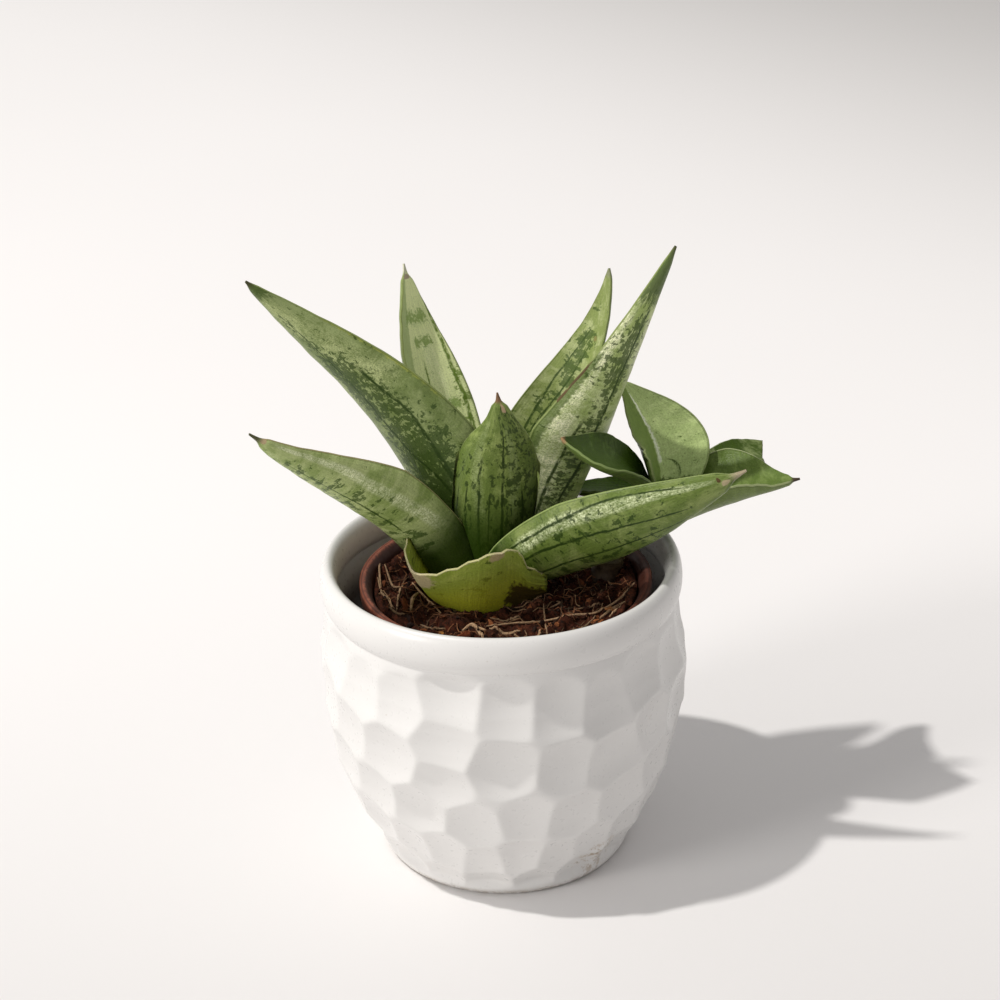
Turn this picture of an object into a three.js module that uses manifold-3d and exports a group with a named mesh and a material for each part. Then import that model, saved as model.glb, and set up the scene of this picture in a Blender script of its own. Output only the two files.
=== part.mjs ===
// A young silver-leaved snake plant with one offset, in its thin nursery pot,
// which stands loose in a white glazed pot. Millimetres, +Z up, origin under the
// middle of the outer pot on the surface that it stands on.
import * as THREE from "three";
import { mergeVertices } from "three/addons/utils/BufferGeometryUtils.js";
import Module from "manifold-3d";

const wasm = await Module();
wasm.setup();

// Driving dimensions
const clearance = 0.3; // air between neighbouring pieces
const soilLevel = 60; // mean height of the potting mix
const rim = { radius: 36.7, height: 64, wide: 1.85, tall: 4.3 }; // rounded bead of the outer pot
const outerPot = {
  floor: 6, // thickness under the nursery pot
  floorRadius: 25,
  wall: 4,
  around: 72,
  neck: { top: 61, radius: 37.4, bore: 35.6 }, // the part of the wall that runs up into the bead
  // height and radius of the outside, over the ridges between the dimples
  profile: [[0, 26.4], [0.9, 27.3], [4, 28.8], [8, 30.9], [12, 33], [16, 34.8], [20, 36.2], [24, 37.4],
    [28, 38.3], [32.5, 39], [37, 39.6], [41.5, 39.9], [46, 39.9], [50.5, 39.5], [55, 38.6], [57.2, 38]],
};
// Hammered dimples: one cell of the surface round each centre. A centre is its angle
// from the front in degrees and its height. The back half repeats the front half.
const dimples = {
  low: 2, high: 57.2, depth: 1.05, girth: 38,
  centres: [
    [-81, 51], [-65, 53], [-50, 50.5], [-33.5, 51], [-17, 54], [1, 52.5], [17, 51.5], [33, 50],
    [49, 52.5], [65, 51], [82, 53], [-88, 41], [-72, 42.5], [-56, 40], [-38.5, 38.5],
    [-18.5, 44.5], [-0.5, 39.5], [19, 38.5], [36, 37], [53, 41], [70, 39.5], [-80, 31],
    [-63, 29.5], [-46, 27], [-20, 34], [-29, 25.5], [-11.7, 23.5], [6.5, 25.7], [23.4, 24.3],
    [41, 25], [58, 28.5], [76, 28.5], [-71, 18.5], [-53, 16], [-37, 13.5],
    [-23, 14], [-9, 11.5], [5, 13], [19, 12], [33, 14], [49, 15], [66, 17.5], [84, 18],
    [-83, 7], [-65, 6], [-47, 4], [-28, 3.5], [-8, 2.5], [12, 3], [31, 4], [51, 5], [71, 6.5],
    [88, 7.5],
  ],
};
const nursery = {
  centre: [0.9, 0.5], // it stands a little off the middle
  top: 63, rimRadius: 31.3, lipTall: 3.2, bodyRadius: 29.6, baseRadius: 21, wall: 1, base: 1.2,
  holes: 4, holeRadius: 3, holeCircle: 13,
};
const crown = {
  x: -1, y: 1, low: 44, high: 59, radius: 4.2,
  // the side shoot dives from the crown, comes up inside the nursery pot and leans out over its rim
  shoot: {
    radius: 3,
    route: [[9, 4, 48.5], [18, 6, 51], [22, 7, 58.5], [24.5, 7.5, 65], [29, 8.5, 71], [34, 9.5, 75]],
  },
};
const chips = { count: 16, nearest: 13, farthest: 24, smallest: 1.6, largest: 3.8 };

// Leaves. Each midrib is one cubic curve: root, rise, arch, tip. heading is the compass
// direction that the blade leans to, turn twists it about its midrib at root and tip,
// cup is the half-angle of its channel at root, middle and tip. The widest place and
// the taper shape the outline, keel under 1 folds the channel to a V, and cut ends the
// blade at a share of its length across the width.
const leaves = {
  leaf_left_tall: {
    curve: [[-6, 3.4, 57.5], [-10.5, 3.3, 100.3], [-34.3, 2.2, 113.8], [-49.4, -3.7, 132.4]],
    heading: 182, turn: [52.5, 61.5],
    width: 27.2, rootShare: 0.4, widest: 0.23, taper: 1.2, cup: [77, 36.5, 22], thick: 2.4,
  },
  leaf_left_low: {
    curve: [[-8.5, 0.5, 57.5], [-20, -2.5, 86.6], [-34, -13, 90.6], [-49, -20, 106.5]],
    heading: 197, turn: [50, 62],
    width: 18, rootShare: 0.9, widest: 0.45, taper: 1.05, cup: [64, 52, 15], thick: 2.4,
  },
  leaf_back_left: {
    curve: [[-4, 8, 57.5], [-14, 12, 100], [-17.5, 20, 106], [-19, 24, 125.5]],
    heading: 125, turn: [0, 25],
    width: 18, rootShare: 0.65, widest: 0.4, taper: 1.65, cup: [60, 43, 22], thick: 2.2,
  },
  leaf_back_right: {
    curve: [[3, 8.5, 57.5], [1, 13, 87.5], [23.5, 20, 101], [24, 24, 123.5]],
    heading: 50, turn: [8, -24],
    width: 20, rootShare: 0.6, widest: 0.36, taper: 1.4, cup: [60, 45, 18], thick: 2.2,
  },
  leaf_right_tall: {
    curve: [[6, 4, 57.5], [18, 5, 95], [16.5, 7, 88], [36.5, 6, 134.5]],
    heading: 5, turn: [-38, -52],
    width: 27, rootShare: 0.55, widest: 0.5, taper: 1.1, cup: [67, 47, 24], thick: 2.4,
  },
  leaf_front_centre: {
    curve: [[-1.5, -0.5, 57.5], [-1.3, -4.8, 102.5], [2, -9, 93.3], [0, -9.5, 109.7]],
    heading: -90, turn: [2, -10],
    width: 21, rootShare: 0.55, widest: 0.22, taper: 1.3, cup: [70, 56, 15], thick: 2,
  },
  leaf_right_low: {
    curve: [[4.5, 2.5, 58], [-1.5, -3.6, 65.9], [20.4, -15.4, 77], [49.4, -18.3, 95.5]],
    heading: -12, turn: [-39.5, -76.3],
    width: 22.7, rootShare: 0.47, widest: 0.57, taper: 1.47, cup: [60, 46, 31], thick: 2.4,
  },
  // the stub of an old leaf clasps the others like a collar and is torn off along its rim
  leaf_front_torn: {
    foot: 58.5, bow: 0.6, thick: 2,
    base: [[-12, 3], [-13.6, 0], [-13.6, -3], [-11.8, -5.6], [-8.8, -7.7], [-5.2, -8.6], [-1.5, -7.9],
      [2.5, -6.2], [6.2, -4], [9.2, -1]],
    rim: [[-19.5, -4, 75.7], [-20.1, -8, 73.5], [-18.5, -10.5, 69.8], [-14.7, -12.5, 70.1],
      [-9.4, -15, 72.7], [-4.2, -16.5, 75.6], [-0.1, -16, 77.1], [2.8, -14, 76.5], [6, -11.5, 70.9],
      [9.6, -8, 67.6]],
  },
  offset_leaf_inner: {
    curve: [[32.5, 6, 77], [28.2, 0, 91.2], [21, -5, 89.8], [13, -7, 98.4]],
    heading: 200, turn: [-7, -16],
    width: 14.5, rootShare: 0.55, widest: 0.5, taper: 2, cup: [49, 46, 25], thick: 1.8,
  },
  offset_leaf_folded: {
    curve: [[35.5, 9, 74.5], [34.5, 13, 88], [35, 17, 85.5], [26.5, 16, 101]],
    heading: 105, turn: [27, 23],
    width: 22, rootShare: 0.42, widest: 0.42, taper: 1.8, cup: [52, 48, 26], keel: 0.42, thick: 1.8,
  },
  offset_leaf_cut: {
    curve: [[37, 12, 74.5], [55, 18, 83], [53, 23, 77.5], [64.4, 26, 80.5]],
    heading: 40, turn: [-10, 2],
    width: 14, rootShare: 0.55, widest: 0.55, taper: 2.2, cup: [49, 46, 30], thick: 1.8,
    cut: [[-1, 0.5], [-0.66, 0.58], [-0.33, 0.68], [0, 0.76], [0.33, 0.81], [0.66, 0.84], [1, 0.86]],
  },
  offset_leaf_outer: {
    curve: [[26.5, 7, 67], [54, 7, 84], [51.5, 5, 79], [63.5, 4, 83]],
    heading: -3, turn: [-3, -4],
    width: 24, rootShare: 0.5, widest: 0.45, taper: 1.2, cup: [70, 56, 34], thick: 2,
  },
  offset_leaf_left: {
    curve: [[30, 10.5, 71], [35.5, 11, 75], [24, 12, 78.5], [13, 13, 77]],
    heading: 175, turn: [6, 6],
    width: 11.5, rootShare: 0.55, widest: 0.5, taper: 1.9, cup: [50, 43, 25], thick: 1.8,
  },
};
const blade = { edge: 0.7, tipHalf: 0.35, stations: 14, across: 6 };

// Repeatable scatter in 0..1 from a pair of whole numbers.
function scatter(i, j) {
  const v = Math.sin(i * 12.9898 + j * 78.233) * 43758.5453;
  return v - Math.floor(v);
}

// Geometry and solids
function closed(geometry) {
  const bare = geometry.index ? geometry.toNonIndexed() : geometry.clone();
  bare.deleteAttribute("normal");
  bare.deleteAttribute("uv");
  const merged = mergeVertices(bare, 1e-4);
  const index = merged.index.array;
  const kept = [];
  for (let i = 0; i < index.length; i += 3) {
    const [a, b, c] = [index[i], index[i + 1], index[i + 2]];
    if (a !== b && b !== c && a !== c) kept.push(a, b, c);
  }
  if (volume(merged.attributes.position, kept) < 0) {
    for (let i = 0; i < kept.length; i += 3) [kept[i], kept[i + 1]] = [kept[i + 1], kept[i]];
  }
  merged.setIndex(kept);
  return merged;
}

function volume(position, index) {
  const [a, b, c] = [new THREE.Vector3(), new THREE.Vector3(), new THREE.Vector3()];
  let sum = 0;
  for (let i = 0; i < index.length; i += 3) {
    a.fromBufferAttribute(position, index[i]);
    b.fromBufferAttribute(position, index[i + 1]);
    c.fromBufferAttribute(position, index[i + 2]);
    sum += a.dot(b.cross(c));
  }
  return sum;
}

function solid(geometry) {
  const g = closed(geometry);
  return new wasm.Manifold(new wasm.Mesh({
    numProp: 3,
    vertProperties: new Float32Array(g.attributes.position.array),
    triVerts: new Uint32Array(g.index.array),
  }));
}

// The biggest body of a solid: scraps that a cut leaves loose are dropped.
function biggest(shape) {
  return shape.decompose().reduce((best, one) => (one.volume() > best.volume() ? one : best));
}

function geometryOf(shape) {
  const mesh = shape.getMesh();
  const g = new THREE.BufferGeometry();
  g.setAttribute("position", new THREE.BufferAttribute(new Float32Array(mesh.vertProperties), 3));
  g.setIndex(new THREE.BufferAttribute(new Uint32Array(mesh.triVerts), 1));
  return g;
}

function lathe(profile, segments) {
  const g = new THREE.LatheGeometry(profile.map(([r, z]) => new THREE.Vector2(r, z)), segments);
  return g.rotateX(Math.PI / 2);
}

// Outer pot
function wallPoint(angle, z, depth = 0) {
  const r = between(outerPot.profile, z) - depth;
  return new THREE.Vector3(r * Math.cos(angle), r * Math.sin(angle), z);
}

// The part of a flat polygon that is nearer to the point a than to the point b.
function nearerPart(polygon, a, b) {
  const [nx, ny] = [b[0] - a[0], b[1] - a[1]];
  const limit = (b[0] ** 2 + b[1] ** 2 - a[0] ** 2 - a[1] ** 2) / 2;
  const over = polygon.map((p) => p[0] * nx + p[1] * ny - limit);
  return polygon.flatMap((p, i) => {
    const k = (i + 1) % polygon.length;
    const kept = over[i] <= 0 ? [p] : [];
    if ((over[i] <= 0) === (over[k] <= 0)) return kept;
    const t = over[i] / (over[i] - over[k]);
    return [...kept, [p[0] + (polygon[k][0] - p[0]) * t, p[1] + (polygon[k][1] - p[1]) * t]];
  });
}

// The closed outside of the wall: every dimple is a fan that sinks from its ridges to
// its centre, and rings close the body above and below.
function makeDimpledBody() {
  const { low, high, girth, centres } = dimples;
  const turn = 2 * Math.PI * girth;
  const all = [...centres, ...centres.map(([a, z]) => [a + 180, z])]
    .map(([a, z]) => [THREE.MathUtils.degToRad(a - 90) * girth, z]);
  const corners = [];
  const cornerAt = ([arc, z]) => {
    const p = wallPoint(arc / girth, z);
    const known = corners.find((c) => c.distanceTo(p) < 0.25);
    if (!known) corners.push(p);
    return known ?? p;
  };
  const onWall = (p, depth = 0) => wallPoint(Math.atan2(p.y, p.x), p.z, depth);
  const faces = [];
  const edges = [];
  all.forEach((centre, id) => {
    const [left, right] = [centre[0] - turn / 8, centre[0] + turn / 8];
    let cell = [[left, low], [right, low], [right, high], [left, high]];
    for (const other of all) {
      for (const shift of [-turn, 0, turn]) {
        const b = [other[0] + shift, other[1]];
        if (other !== centre && Math.abs(b[0] - centre[0]) < turn / 4) cell = nearerPart(cell, centre, b);
      }
    }
    const ring = cell.map(cornerAt).filter((p, i, list) => p !== list[(i + 1) % list.length]);
    const depth = dimples.depth * (0.8 + 0.4 * scatter(id % centres.length, 2));
    const hub = wallPoint(centre[0] / girth, centre[1], depth);
    const inner = ring.map((p) => onWall(hub.clone().lerp(p, 0.6), 0.72 * depth));
    ring.forEach((p, i) => {
      const k = (i + 1) % ring.length;
      const middle = onWall(p.clone().add(ring[k]).multiplyScalar(0.5));
      faces.push(hub, inner[i], inner[k], inner[i], middle, inner[k]);
      faces.push(inner[i], p, middle, inner[k], middle, ring[k]);
      edges.push([p, middle], [middle, ring[k]]);
    });
  });
  const closings = [
    [low, [[outerPot.profile[1][1], outerPot.profile[1][0]], [outerPot.profile[0][1], 0], [0, 0]]],
    [high, [[outerPot.neck.radius, outerPot.neck.top], [0, outerPot.neck.top]]],
  ];
  for (const [level, rings] of closings) {
    for (const [p, q] of edges) {
      if (Math.abs(p.z - level) > 1e-6 || Math.abs(q.z - level) > 1e-6) continue;
      let [a, b] = [p, q];
      for (const [r, z] of rings) {
        const [c, d] = [p, q].map((v) => {
          const angle = Math.atan2(v.y, v.x);
          return new THREE.Vector3(r * Math.cos(angle), r * Math.sin(angle), z);
        });
        faces.push(b, a, c);
        if (r > 0) faces.push(b, c, d);
        [a, b] = [c, d];
      }
    }
  }
  return solid(new THREE.BufferGeometry().setFromPoints(faces));
}

function makeOuterPot() {
  const { floor, wall, around, neck, profile } = outerPot;
  const inside = profile.filter(([z], i) => z > floor + 4 && z < neck.top - 5 && i % 3 === 0)
    .map(([z, r]) => [r - wall, z]);
  const cavity = lathe([[0, floor], [outerPot.floorRadius, floor], ...inside, [neck.bore, neck.top - 3],
    [neck.bore, neck.top + 1], [0, neck.top + 1]], around);
  const bead = [];
  for (let i = 0; i <= 14; i += 1) {
    const a = (2 * Math.PI * i) / 14;
    bead.push([rim.radius + rim.wide * Math.cos(a), rim.height + rim.tall * Math.sin(a)]);
  }
  return makeDimpledBody().subtract(solid(cavity)).add(solid(lathe(bead, around)));
}

// Nursery pot
function nurseryRadius(z) {
  const low = outerPot.floor + clearance;
  return THREE.MathUtils.mapLinear(z, low, nursery.top, nursery.baseRadius, nursery.bodyRadius);
}

function makeNurseryPot() {
  const { top, rimRadius, lipTall, wall } = nursery;
  const low = outerPot.floor + clearance;
  const profile = [[0, low], [nursery.baseRadius, low], [nurseryRadius(top - lipTall), top - lipTall],
    [rimRadius, top - lipTall + 0.4], [rimRadius, top - 0.4], [rimRadius - 0.4, top],
    [nursery.bodyRadius - wall + 0.4, top], [nursery.bodyRadius - wall, top - 0.5],
    [nursery.baseRadius - wall, low + nursery.base], [0, low + nursery.base]];
  let pot = solid(lathe(profile, 48));
  for (let i = 0; i < nursery.holes; i += 1) {
    const a = (i + 0.5) * (2 * Math.PI / nursery.holes);
    const hole = new THREE.CylinderGeometry(nursery.holeRadius, nursery.holeRadius, 6, 12)
      .rotateX(Math.PI / 2)
      .translate(nursery.holeCircle * Math.cos(a), nursery.holeCircle * Math.sin(a), low);
    pot = pot.subtract(solid(hole));
  }
  return pot.translate([...nursery.centre, 0]);
}

// Leaves
function widthShare(leaf, s) {
  if (s < leaf.widest) {
    return leaf.rootShare + (1 - leaf.rootShare) * Math.sin(0.5 * Math.PI * (s / leaf.widest));
  }
  return 1 - ((s - leaf.widest) / (1 - leaf.widest)) ** leaf.taper;
}

function between(list, x) {
  let k = 1;
  while (k < list.length - 1 && x > list[k][0]) k += 1;
  const [a, b] = [list[k - 1], list[k]];
  return a[1] + ((b[1] - a[1]) * THREE.MathUtils.clamp((x - a[0]) / (b[0] - a[0]), 0, 1));
}

// A point of the blade: s runs from root to tip, u from -1 to 1 across, side is 1 on
// the channelled upper face and -1 on the lower one.
function bladePoint(leaf, s, u, side, grow) {
  const curve = new THREE.CubicBezierCurve3(...leaf.curve.map((p) => new THREE.Vector3(...p)));
  const share = s * (leaf.cut ? between(leaf.cut, u) : 1);
  const middle = curve.getPoint(share);
  const along = curve.getTangent(share);
  const heading = THREE.MathUtils.degToRad(leaf.heading);
  const level = new THREE.Vector3(-Math.sin(heading), Math.cos(heading), 0);
  const up0 = new THREE.Vector3().crossVectors(along, level).normalize();
  const wide0 = new THREE.Vector3().crossVectors(up0, along);
  const turn = THREE.MathUtils.degToRad(THREE.MathUtils.lerp(leaf.turn[0], leaf.turn[1], share));
  const wide = wide0.clone().multiplyScalar(Math.cos(turn)).addScaledVector(up0, Math.sin(turn));
  const up = up0.clone().multiplyScalar(Math.cos(turn)).addScaledVector(wide0, -Math.sin(turn));

  const half = 0.5 * leaf.width * widthShare(leaf, share) + blade.tipHalf;
  const cups = leaf.cup.map((degrees, i) => [i / 2, THREE.MathUtils.degToRad(degrees)]);
  const cup = between(cups, share);
  const keel = leaf.keel ?? 1;
  const steps = 12;
  let [x, y] = [0, 0];
  for (let i = 0; i < steps; i += 1) {
    const bend = cup * (((i + 0.5) / steps) * Math.abs(u)) ** keel;
    x += (Math.cos(bend) * half * Math.abs(u)) / steps;
    y += (Math.sin(bend) * half * Math.abs(u)) / steps;
  }
  const lean = cup * Math.abs(u) ** keel * Math.sign(u);
  const outward = wide.clone().multiplyScalar(-Math.sin(lean)).addScaledVector(up, Math.cos(lean));
  const sideways = wide.clone().multiplyScalar(Math.cos(lean)).addScaledVector(up, Math.sin(lean));
  const midThick = leaf.thick * (0.35 + 0.65 * Math.min(1, half / (0.5 * leaf.width)));
  const thick = blade.edge + Math.max(0, midThick - blade.edge) * (1 - u * u) ** 0.8;
  return middle.addScaledVector(wide, Math.sign(u) * x).addScaledVector(up, y)
    .addScaledVector(outward, side > 0 ? grow : -thick - grow)
    .addScaledVector(sideways, grow * Math.sign(u) * Math.abs(u) ** 4);
}

// The same for the torn stub, which runs straight from its base line up to its rim.
function stubPoint(leaf, s, u, side, grow) {
  const last = leaf.rim.length - 1;
  const along = (list, k) => new THREE.Vector3(...list[THREE.MathUtils.clamp(k, 0, last)]);
  const k = Math.round(((u + 1) / 2) * last);
  const base = leaf.base.map((p) => [...p, leaf.foot]);
  const at = (j) => along(base, j).lerp(along(leaf.rim, j), s || -0.12 * grow);
  const sideways = at(k + 1).sub(at(k - 1)).normalize();
  const outward = along(leaf.rim, k).sub(along(base, k)).cross(sideways).normalize().negate();
  const thick = blade.edge + (leaf.thick - blade.edge) * (1 - u * u) ** 0.8 * (1 - 0.6 * s);
  return at(k).addScaledVector(outward, leaf.bow * 4 * s * (1 - s) + (side > 0 ? -thick - grow : grow))
    .addScaledVector(sideways, grow * Math.sign(u) * Math.abs(u) ** 4);
}

// A closed blade with the same triangles on both faces.
function bladeGeometry(leaf, grow = 0) {
  const { stations } = blade;
  const across = leaf.rim ? leaf.rim.length - 1 : blade.across;
  const pointOf = leaf.rim ? stubPoint : bladePoint;
  const around = 2 * (across + 1);
  const points = [];
  for (let i = 0; i < stations; i += 1) {
    const s = (i / (stations - 1)) ** 0.9;
    for (let j = 0; j < around; j += 1) {
      const upper = j <= across;
      const u = upper ? (2 * j) / across - 1 : 1 - (2 * (j - across - 1)) / across;
      points.push(pointOf(leaf, s, u, upper ? 1 : -1, grow));
    }
  }
  const faces = [];
  const at = (i, j) => i * around + (j % around);
  const quad = (a, b, c, d, turned) => {
    if (turned) faces.push(a, b, d, b, c, d);
    else faces.push(a, b, c, a, c, d);
  };
  for (let i = 0; i < stations - 1; i += 1) {
    for (let j = 0; j < around; j += 1) {
      quad(at(i, j), at(i, j + 1), at(i + 1, j + 1), at(i + 1, j), j > across);
    }
  }
  for (const [i, flip] of [[0, false], [stations - 1, true]]) {
    for (let j = 0; j < across; j += 1) {
      const [a, b, c, d] = [at(i, j), at(i, j + 1), at(i, around - 2 - j), at(i, around - 1 - j)];
      if (flip) faces.push(a, b, c, a, c, d);
      else faces.push(c, b, a, d, c, a);
    }
  }
  const g = new THREE.BufferGeometry();
  g.setAttribute("position", new THREE.Float32BufferAttribute(points.flatMap((p) => [p.x, p.y, p.z]), 3));
  g.setIndex(faces);
  return g;
}

// Crown, and the side shoot that carries the offset
function makeCrown(grow) {
  const { x, y, low, high, shoot } = crown;
  const radius = crown.radius + grow;
  const stub = lathe([[0, low - grow], [radius * 0.7, low + 1], [radius, low + 6], [radius * 0.8, high - 2],
    [radius * 0.4, high + grow], [0, high + grow]], 12).translate(x, y, 0);
  const route = new THREE.CatmullRomCurve3([[x, y, 49], ...shoot.route].map((p) => new THREE.Vector3(...p)));
  const round = new THREE.Shape().absarc(0, 0, shoot.radius + grow, 0, 2 * Math.PI, false);
  const stem = new THREE.ExtrudeGeometry(round, { extrudePath: route, steps: 10, curveSegments: 4 });
  return solid(stub).add(solid(stem));
}

// Potting mix with a crumbly top and bark chips sunk in it
function makePottingMix() {
  const low = outerPot.floor + clearance + nursery.base + clearance;
  const inner = (z) => nurseryRadius(z) - nursery.wall - clearance;
  const rings = 6;
  const shoulder = soilLevel - 1;
  const profile = [[0, low], [inner(low + 1) - 0.6, low], [inner(30), 30], [inner(shoulder), shoulder]];
  for (let i = rings - 1; i >= 0; i -= 1) profile.push([((inner(soilLevel) - 0.8) * i) / rings, soilLevel]);
  const g = lathe(profile, 32);
  const position = g.attributes.position;
  for (let i = 0; i < position.count; i += 1) {
    const [x, y, z] = [position.getX(i), position.getY(i), position.getZ(i)];
    if (z < soilLevel - 0.01) continue;
    const waves = 0.7 * Math.sin(0.55 * x + 1.3) * Math.cos(0.47 * y) + 0.5 * Math.sin(1.1 * x - 0.9 * y);
    position.setZ(i, z + waves - 0.02 * Math.hypot(x, y));
  }
  let mix = solid(g);
  for (let i = 0; i < chips.count; i += 1) {
    const a = 2 * Math.PI * scatter(i, 3);
    const r = THREE.MathUtils.lerp(chips.nearest, chips.farthest, Math.sqrt(scatter(i, 5)));
    const size = THREE.MathUtils.lerp(chips.smallest, chips.largest, scatter(i, 7));
    const chip = new THREE.BoxGeometry(size * 1.7, size, size * 0.6)
      .rotateX(0.9 * (scatter(i, 11) - 0.5))
      .rotateZ(2 * Math.PI * scatter(i, 13))
      .rotateY(0.7 * (scatter(i, 17) - 0.5))
      .translate(r * Math.cos(a), r * Math.sin(a), soilLevel + 0.3);
    mix = mix.add(solid(chip));
  }
  return mix.translate([...nursery.centre, 0]);
}

// Fitting together: the blades in front keep their shape, and the ones behind are
// cut back where they would touch them, as crowded leaf bases press each other thin.
const order = ["leaf_front_torn", "leaf_right_low", "leaf_left_low", "leaf_front_centre", "leaf_left_tall",
  "leaf_right_tall", "leaf_back_left", "leaf_back_right", "offset_leaf_folded", "offset_leaf_outer",
  "offset_leaf_inner", "offset_leaf_cut", "offset_leaf_left"];
const solids = {};
const grown = {};
for (const name of order) grown[name] = solid(bladeGeometry(leaves[name], clearance));
for (const [k, name] of order.entries()) {
  let one = solid(bladeGeometry(leaves[name]));
  for (const other of order.slice(0, k)) one = one.subtract(grown[other]);
  solids[name] = biggest(one);
}
let [stems, mix] = [makeCrown(0), makePottingMix().subtract(makeCrown(clearance))];
for (const name of order) {
  stems = stems.subtract(grown[name]);
  mix = mix.subtract(grown[name]);
}
solids.crown_rhizome = biggest(stems);
solids.potting_mix = biggest(mix);
solids.nursery_pot = makeNurseryPot();
solids.outer_pot = makeOuterPot();

// Finishes
const finishes = {
  glaze: { color: 0xf1f0ee, roughness: 0.28, metalness: 0 },
  terracottaPlastic: { color: 0x8a4a3a, roughness: 0.55, metalness: 0 },
  mix: { color: 0x3a2018, roughness: 0.95, metalness: 0 },
  stem: { color: 0xb9a878, roughness: 0.6, metalness: 0 },
  leaf: { color: 0x6f8a55, roughness: 0.42, metalness: 0 },
  offsetLeaf: { color: 0x5f8048, roughness: 0.42, metalness: 0 },
};
const finishOf = {
  outer_pot: "glaze", nursery_pot: "terracottaPlastic", potting_mix: "mix", crown_rhizome: "stem",
};

const plant = new THREE.Group();
for (const [name, shape] of Object.entries(solids)) {
  const finish = finishOf[name] ?? (name.startsWith("offset") ? "offsetLeaf" : "leaf");
  const mesh = new THREE.Mesh(geometryOf(shape), new THREE.MeshStandardMaterial(finishes[finish]));
  mesh.name = name;
  plant.add(mesh);
}

export default plant;
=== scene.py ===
import bpy, bmesh, math
import numpy as np
from mathutils import Matrix, Vector, noise


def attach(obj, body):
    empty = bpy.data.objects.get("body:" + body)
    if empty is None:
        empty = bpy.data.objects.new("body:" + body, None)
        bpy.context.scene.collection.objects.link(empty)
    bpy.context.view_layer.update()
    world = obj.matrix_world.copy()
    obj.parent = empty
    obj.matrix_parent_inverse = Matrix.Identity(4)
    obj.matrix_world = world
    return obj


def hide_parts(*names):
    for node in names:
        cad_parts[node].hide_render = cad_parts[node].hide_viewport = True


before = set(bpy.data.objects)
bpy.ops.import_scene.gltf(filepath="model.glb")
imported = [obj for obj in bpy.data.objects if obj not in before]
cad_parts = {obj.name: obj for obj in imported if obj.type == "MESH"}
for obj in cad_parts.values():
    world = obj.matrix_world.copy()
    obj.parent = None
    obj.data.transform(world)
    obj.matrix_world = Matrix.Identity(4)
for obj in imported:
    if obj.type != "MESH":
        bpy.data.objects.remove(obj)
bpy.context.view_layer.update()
milli = 0.001  # the pieces are drawn in millimetres
rng = np.random.default_rng(17)
print("frame loaded")


# Helpers
def newObject(name, content):
    obj = bpy.data.objects.new(name, content)
    bpy.context.scene.collection.objects.link(obj)
    return obj


def link(name, mesh, material, nodes=()):
    obj = newObject(name, mesh)
    mesh.materials.append(material)
    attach(obj, "root")
    if nodes:
        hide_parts(*nodes)
    return obj


def meshFrom(name, points, faces):
    mesh = bpy.data.meshes.new(name)
    mesh.from_pydata([tuple(p) for p in np.asarray(points) * milli], [], faces)
    mesh.validate()
    mesh.shade_smooth()
    return mesh


def weld(mesh, others, gap):
    bm = bmesh.new()
    for part in (mesh, *others):
        bm.from_mesh(part)
    bmesh.ops.remove_doubles(bm, verts=bm.verts, dist=gap * milli)
    bmesh.ops.recalc_face_normals(bm, faces=bm.faces)
    bm.to_mesh(mesh)
    bm.free()
    mesh.set_sharp_from_angle(angle=math.radians(50))


def smoothstep(x, low, high):
    t = np.clip((np.asarray(x, float) - low) / (high - low), 0, 1)
    return t * t * (3 - 2 * t)


def splineAt(points, t):
    points, t = np.asarray(points, float), np.asarray(t, float)
    slopes = np.gradient(points, axis=0)
    i = np.clip(t.astype(int), 0, len(points) - 2)
    f = (t - i)[..., None]
    return ((2 * f ** 3 - 3 * f ** 2 + 1) * points[i] + (f ** 3 - 2 * f ** 2 + f) * slopes[i]
            + (3 * f ** 2 - 2 * f ** 3) * points[i + 1] + (f ** 3 - f ** 2) * slopes[i + 1])


def onCircle(centre, r, a):
    return centre[0] + r * math.cos(a), centre[1] + r * math.sin(a)


def turnedFaces(segments, n, closed=False):
    return [(i * n + j, (i + 1) % segments * n + j, (i + 1) % segments * n + (j + 1) % n, i * n + (j + 1) % n)
            for i in range(segments) for j in range(n if closed else n - 1)]


def sleeveFaces(rings, n):
    faces = [(i * n + j, i * n + (j + 1) % n, (i + 1) * n + (j + 1) % n, (i + 1) * n + j)
             for i in range(rings - 1) for j in range(n)]
    return faces + [tuple(range(n))[::-1], tuple(range((rings - 1) * n, rings * n))]


def latheMesh(name, profile, segments, centre=(0, 0), closed=False, wobble=None):
    points = []
    for i in range(segments):
        a = 2 * math.pi * i / segments
        for r, z in profile:
            dr, dz = wobble(a, z) if wobble else (0, 0)
            points.append((*onCircle(centre, r + dr, a), z + dz))
    return meshFrom(name, points, turnedFaces(segments, len(profile), closed))


# Node helpers
def plug(tree, target, value):
    if isinstance(value, bpy.types.NodeSocket):
        tree.links.new(value, target)
    else:
        target.default_value = (*value, 1) if target.type == "RGBA" else value


def add(tree, kind, ins, **settings):
    node = tree.nodes.new(kind)
    for key, value in settings.items():
        setattr(node, key, value)
    for key, value in ins.items():
        plug(tree, node.inputs[key], value)
    return node


def mathNode(tree, operation, *values, clamp=False):
    return add(tree, "ShaderNodeMath", dict(enumerate(values)), operation=operation, use_clamp=clamp).outputs[0]


def times(tree, product, *others):
    for value in others:
        product = mathNode(tree, "MULTIPLY", product, value)
    return product


def ramp(tree, value, low, high, toLow=0.0, toHigh=1.0):
    ins = {"Value": value, "From Min": low, "From Max": high, "To Min": toLow, "To Max": toHigh}
    return add(tree, "ShaderNodeMapRange", ins, interpolation_type="SMOOTHSTEP").outputs[0]


def mixColor(tree, factor, a, b, mode="MIX"):
    return add(tree, "ShaderNodeMix", {0: factor, 6: a, 7: b}, data_type="RGBA", blend_type=mode).outputs[2]


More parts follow.
